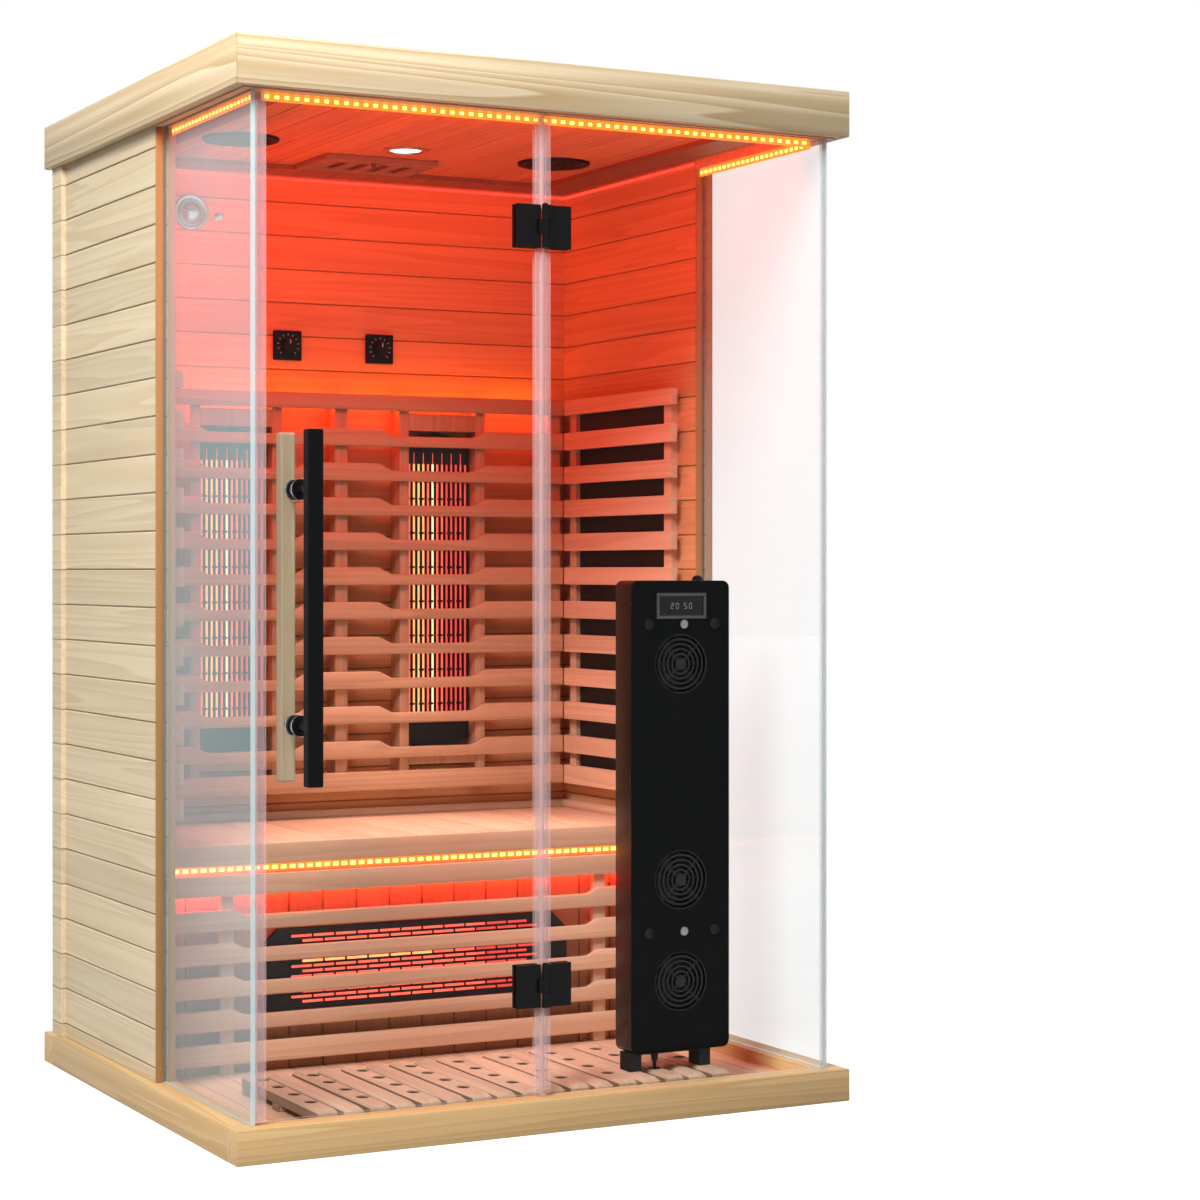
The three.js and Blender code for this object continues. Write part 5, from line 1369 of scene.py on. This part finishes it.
class SAUNA_OT_light_panel(bpy.types.Operator):
    """Models the red-light panel that stands on the duckboard"""

    bl_idname = "sauna.light_panel"
    bl_label = "Red-light panel"

    def execute(self, context):
        s, f = sizes(), finishes()

        def black(name, roughness, spread, shine):
            return speckled(name, f.black, roughness, scale=1500.0, spread=spread, shine=shine, bump=0.02)

        self.gloss = black("panel black", 0.16, 0.08, 0.03)
        self.shell = black("panel shell", 0.26, 0.08, 0.3)
        self.rings = black("grille black", 0.34, 0.06, 0.26)
        self.socket = black("socket black", 0.12, 0.06, 0.22)
        self.low, self.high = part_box("panel_case")
        self.centre = (self.low.x + self.high.x) / 2
        self.face = self.low.y - 0.0033
        self.fans = [middle(f"panel_fan_{name}").z for name in ("upper", "middle", "lower")]
        self.housing(s)
        self.cover(s)
        self.grilles(s)
        self.display()
        self.buttons()
        self.lamp_field()
        for name in ("upper", "middle", "lower"):
            dress(f"panel_fan_{name}", black_plastic(), 0.0004)
        dress("panel_stand", black_rubber(), 0.0015)
        dress("panel_lead", black_rubber())
        return {"FINISHED"}

    def housing(self, s):
        """A sheet-metal case, open to the front and folded in round the lamps."""
        lip, sheet, edge = 0.011, 0.002, 0.0015
        part = bmesh.new()
        slab(part, self.low, self.high)
        along = [e for e in part.edges if abs((e.verts[0].co - e.verts[1].co).y) > 1e-6]
        round_over(part, along, s.panel_corner, segments=8)
        part.normal_update()
        ends = [face for face in part.faces if face.normal.y < -0.9]
        bmesh.ops.delete(part, geom=ends, context="FACES")
        lens = [face for face in part.faces if face.normal.y > 0.9]
        bmesh.ops.inset_region(part, faces=lens, thickness=lip)
        bmesh.ops.delete(part, geom=lens, context="FACES")
        rim = [e for e in sharp_edges(part) if all(abs(v.co.y - self.high.y) < 1e-6 for v in e.verts)]
        round_over(part, rim, edge)
        bmesh.ops.recalc_face_normals(part, faces=part.faces)
        bmesh.ops.solidify(part, geom=part.faces[:], thickness=sheet)
        piece("panel_housing", part, self.shell, "black_metal", stands_for=["panel_case"])

    def cover(self, s):
        """The glossy front with a round hole for each fan."""
        thickness = 0.003
        height = self.high.z - self.low.z
        places = sorted(z - self.low.z for z in self.fans)
        width = self.high.x - self.low.x
        part = holed_plate(width, height, places, s.grille_radius, thickness, 48)
        bmesh.ops.dissolve_limit(part, angle_limit=0.01, verts=part.verts[:], edges=part.edges[:])

        def at_corner(v):
            return abs(abs(v.co.x) - width / 2) < 1e-6 and min(v.co.y, height - v.co.y) < 1e-6

        corners = [
            e for e in part.edges
            if all(at_corner(v) for v in e.verts) and abs((e.verts[0].co - e.verts[1].co).z) > 1e-6
        ]
        round_over(part, corners, s.panel_corner, segments=8)
        outline = [e for e in sharp_edges(part) if all(v.co.z > thickness - 0.0001 for v in e.verts)]
        round_over(part, outline, 0.0011)
        rear = self.face + thickness
        stand = Matrix(((1, 0, 0, self.centre), (0, 0, -1, rear), (0, 1, 0, self.low.z), (0, 0, 0, 1)))
        bmesh.ops.transform(part, matrix=stand, verts=part.verts)
        piece("panel_front", part, self.gloss, "black_metal", stands_for=["panel_cover"])

    def grilles(self, s):
        """Rings, spokes and a hub over each fan, and the post that the fan turns on."""
        bm = bmesh.new()
        front, rear = self.face + 0.0004, self.face + 0.0028
        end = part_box("panel_fan_upper")[1].y
        rings, first, pitch, width, slope = 5, 0.0165, 0.0092, 0.0040, 0.0008
        hub = [(0, front), (0.0095, front), (0.0110, front + slope), (0.0110, rear), (0, rear)]
        post = [(0, rear), (0.0040, rear), (0.0040, end), (0, end)]
        for z in self.fans:
            centre = (self.centre, 0, z)
            for ring in range(rings):
                inner = first + ring * pitch
                outer = inner + width
                profile = [(inner, front + slope), (inner + 0.0010, front), (outer - 0.0010, front)]
                profile += [(outer, front + slope), (outer, rear), (inner, rear)]
                turn(bm, profile + profile[:1], centre, Y, 56)
            turn(bm, hub, centre, Y, 40)
            turn(bm, post, centre, Y, 24)
            far = (s.grille_radius + 0.0005, rear - ROOM, 0.0016)
            for degrees in (45, 135, 225, 315):
                spoke(bm, (0.0095, front + 0.0010, -0.0016), far, degrees, centre)
        piece("panel_grilles", bm, self.rings, "black_metal", stands_for=["panel_cover"])

    def display(self):
        """The raised bezel, its dark window and a row of generic figures."""
        height, half_x, half_z, border = 0.828, 0.053, 0.024, 0.006
        pitch, shift = 0.011, 0.003
        z = self.low.z + height
        back = self.face - 0.0001
        bm = bmesh.new()
        for x0, x1, z0, z1 in (
            (-half_x, half_x, half_z - border, half_z), (-half_x, half_x, -half_z, -half_z + border),
            (-half_x, -half_x + border, -half_z + border, half_z - border),
            (half_x - border, half_x, -half_z + border, half_z - border),
        ):
            block(bm, (self.centre + x0, back - 0.003, z + z0), (self.centre + x1, back, z + z1), 0.0012)
        bezel = speckled("bezel grey", (0.06, 0.065, 0.07), 0.3, metallic=0.6)
        piece("panel_bezel", bm, bezel, "black_metal", stands_for=["panel_cover"])
        bm = bmesh.new()
        half_x, half_z = half_x - border, half_z - border
        near = (self.centre - half_x, back - 0.0010, z - half_z)
        block(bm, near, (self.centre + half_x, back, z + half_z), 0.0003)
        window = speckled("display window", (0.004, 0.004, 0.005), 0.08, shine=0.2, bump=0.0)
        piece("panel_window", bm, window, "black_metal", stands_for=["panel_cover"])
        bm = bmesh.new()
        shapes = {"0": "abcdef", "2": "abged", "5": "afgcd"}
        bars = {"a": (0, 1), "g": (0, 0), "d": (0, -1)}
        bars |= {"f": (-1, 0.5), "b": (1, 0.5), "e": (-1, -0.5), "c": (1, -0.5)}
        for i, figure in enumerate("2050"):
            x = self.centre + (i - 1.5) * pitch + (shift if i > 1 else -shift)
            for bar in shapes[figure]:
                u, v = bars[bar]
                mid = Vector((x + u * 0.0026, back - 0.0011, z + v * 0.0052))
                half = Vector((0.0005, 0.0002, 0.0021) if u else (0.0021, 0.0002, 0.0005))
                slab(bm, mid - half, mid + half)
        figures = glow("display figures", (0.55, 0.58, 0.60), 0.15)
        piece("panel_figures", bm, figures, "steel")

    def buttons(self):
        """Two push buttons and, beside them, four round sockets."""
        back, front, away = self.face - 0.0001, self.face + 0.0032, 0.070
        socket = [(0, 0), (0.0100, 0), (0.0100, -0.0045), (0.0088, -0.0058), (0.0068, -0.0058)]
        socket += [(0.0058, -0.0030), (0.0030, -0.0030), (0.0026, -0.0044), (0, -0.0046)]
        for name in ("upper", "lower"):
            node = f"panel_button_{name}"
            low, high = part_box(node)
            centre = axis_point(node, Y)
            button = [(0, low.y - 0.0006), (0.005, low.y - 0.0003), (0.0072, low.y + 0.0004)]
            button += [(0.0083, low.y + 0.0016), (0.0083, front), (0.0105, front + 0.0002)]
            button += [(0.0105, high.y), (0, high.y)]
            finish = (dark_steel(), "steel", f"button_{name}", [node])
            turned(f"{node}_turned", button, centre, Y, 48, *finish)
            bm = bmesh.new()
            for x in (-away, away):
                turn(bm, socket, (self.centre + x, back, centre.z), Y, 40)
            piece(f"panel_sockets_{name}", bm, self.socket, "black_metal", stands_for=["panel_cover"])
        knob = [(0, 0), (0.011, 0), (0.011, 0.002), (0.009, 0.006), (0.005, 0.009), (0, 0.010)]
        place = (self.centre + 0.055, (self.low.y + self.high.y) / 2, self.high.z + TOUCH)
        turned("panel_top_knob", knob, place, Z, 36, black_paint(), "black_metal")

    def lamp_field(self):
        """Three groups of red lamps on the side that faces the bench."""
        dress("panel_led_plate", speckled("lamp field", (0.02, 0.006, 0.007), 0.4, scale=800.0))
        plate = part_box("panel_led_plate")[1].y
        columns, column_pitch, row_pitch = 6, 0.0265, 0.0305
        groups, top, group_gap = (9, 8, 8), self.high.z - 0.036, 0.042
        collar = [(0.0035, 0.0022), (0.0085, 0.0016), (0.0090, TOUCH)]
        dome = [(0, 0.0030), (0.0025, 0.0027), (0.0036, 0.0020)]
        bm = bmesh.new()
        z = top
        for rows in groups:
            for _ in range(rows):
                for column in range(columns):
                    x = self.centre + (column - (columns - 1) / 2) * column_pitch
                    centre = (x, plate, z)
                    turn(bm, collar, centre, Y, 12)
                    start = len(bm.faces)
                    turn(bm, dome, centre, Y, 12)
                    paint_faces(bm, start, 1)
                z -= row_pitch
            z -= group_gap - row_pitch
        lens = glow("red lens", (0.9, 0.012, 0.012), 0.9)
        core = glow("red lens core", (1.0, 0.30, 0.32), 2.0)
        piece("panel_lamps", bm, [lens, core], "led_red")


PIECES = (
    SAUNA_OT_stage,
    SAUNA_OT_shell,
    SAUNA_OT_backrest,
    SAUNA_OT_bench,
    SAUNA_OT_duckboard,
    SAUNA_OT_heaters,
    SAUNA_OT_glazing,
    SAUNA_OT_handle,
    SAUNA_OT_light_strips,
    SAUNA_OT_ceiling_fittings,
    SAUNA_OT_wall_fittings,
    SAUNA_OT_light_panel,
)


class SAUNA_PT_panel(bpy.types.Panel):
    """Lists the pieces of the cabin"""

    bl_idname = "SAUNA_PT_panel"
    bl_label = "Sauna cabin"
    bl_space_type = "VIEW_3D"
    bl_region_type = "UI"
    bl_category = "Sauna"

    def draw(self, context):
        for operator in PIECES:
            self.layout.operator(operator.bl_idname)


CLASSES = (SaunaSizes, SaunaFinishes, *PIECES, SAUNA_PT_panel)


def register():
    for each in CLASSES:
        bpy.utils.register_class(each)
    bpy.types.Scene.sauna_sizes = PointerProperty(type=SaunaSizes)
    bpy.types.Scene.sauna_finishes = PointerProperty(type=SaunaFinishes)


def unregister():
    del bpy.types.Scene.sauna_finishes
    del bpy.types.Scene.sauna_sizes
    for each in reversed(CLASSES):
        bpy.utils.unregister_class(each)


def main():
    register()
    for operator in PIECES:
        family, name = operator.bl_idname.split(".")
        getattr(getattr(bpy.ops, family), name)()


if __name__ == "__main__":
    main()
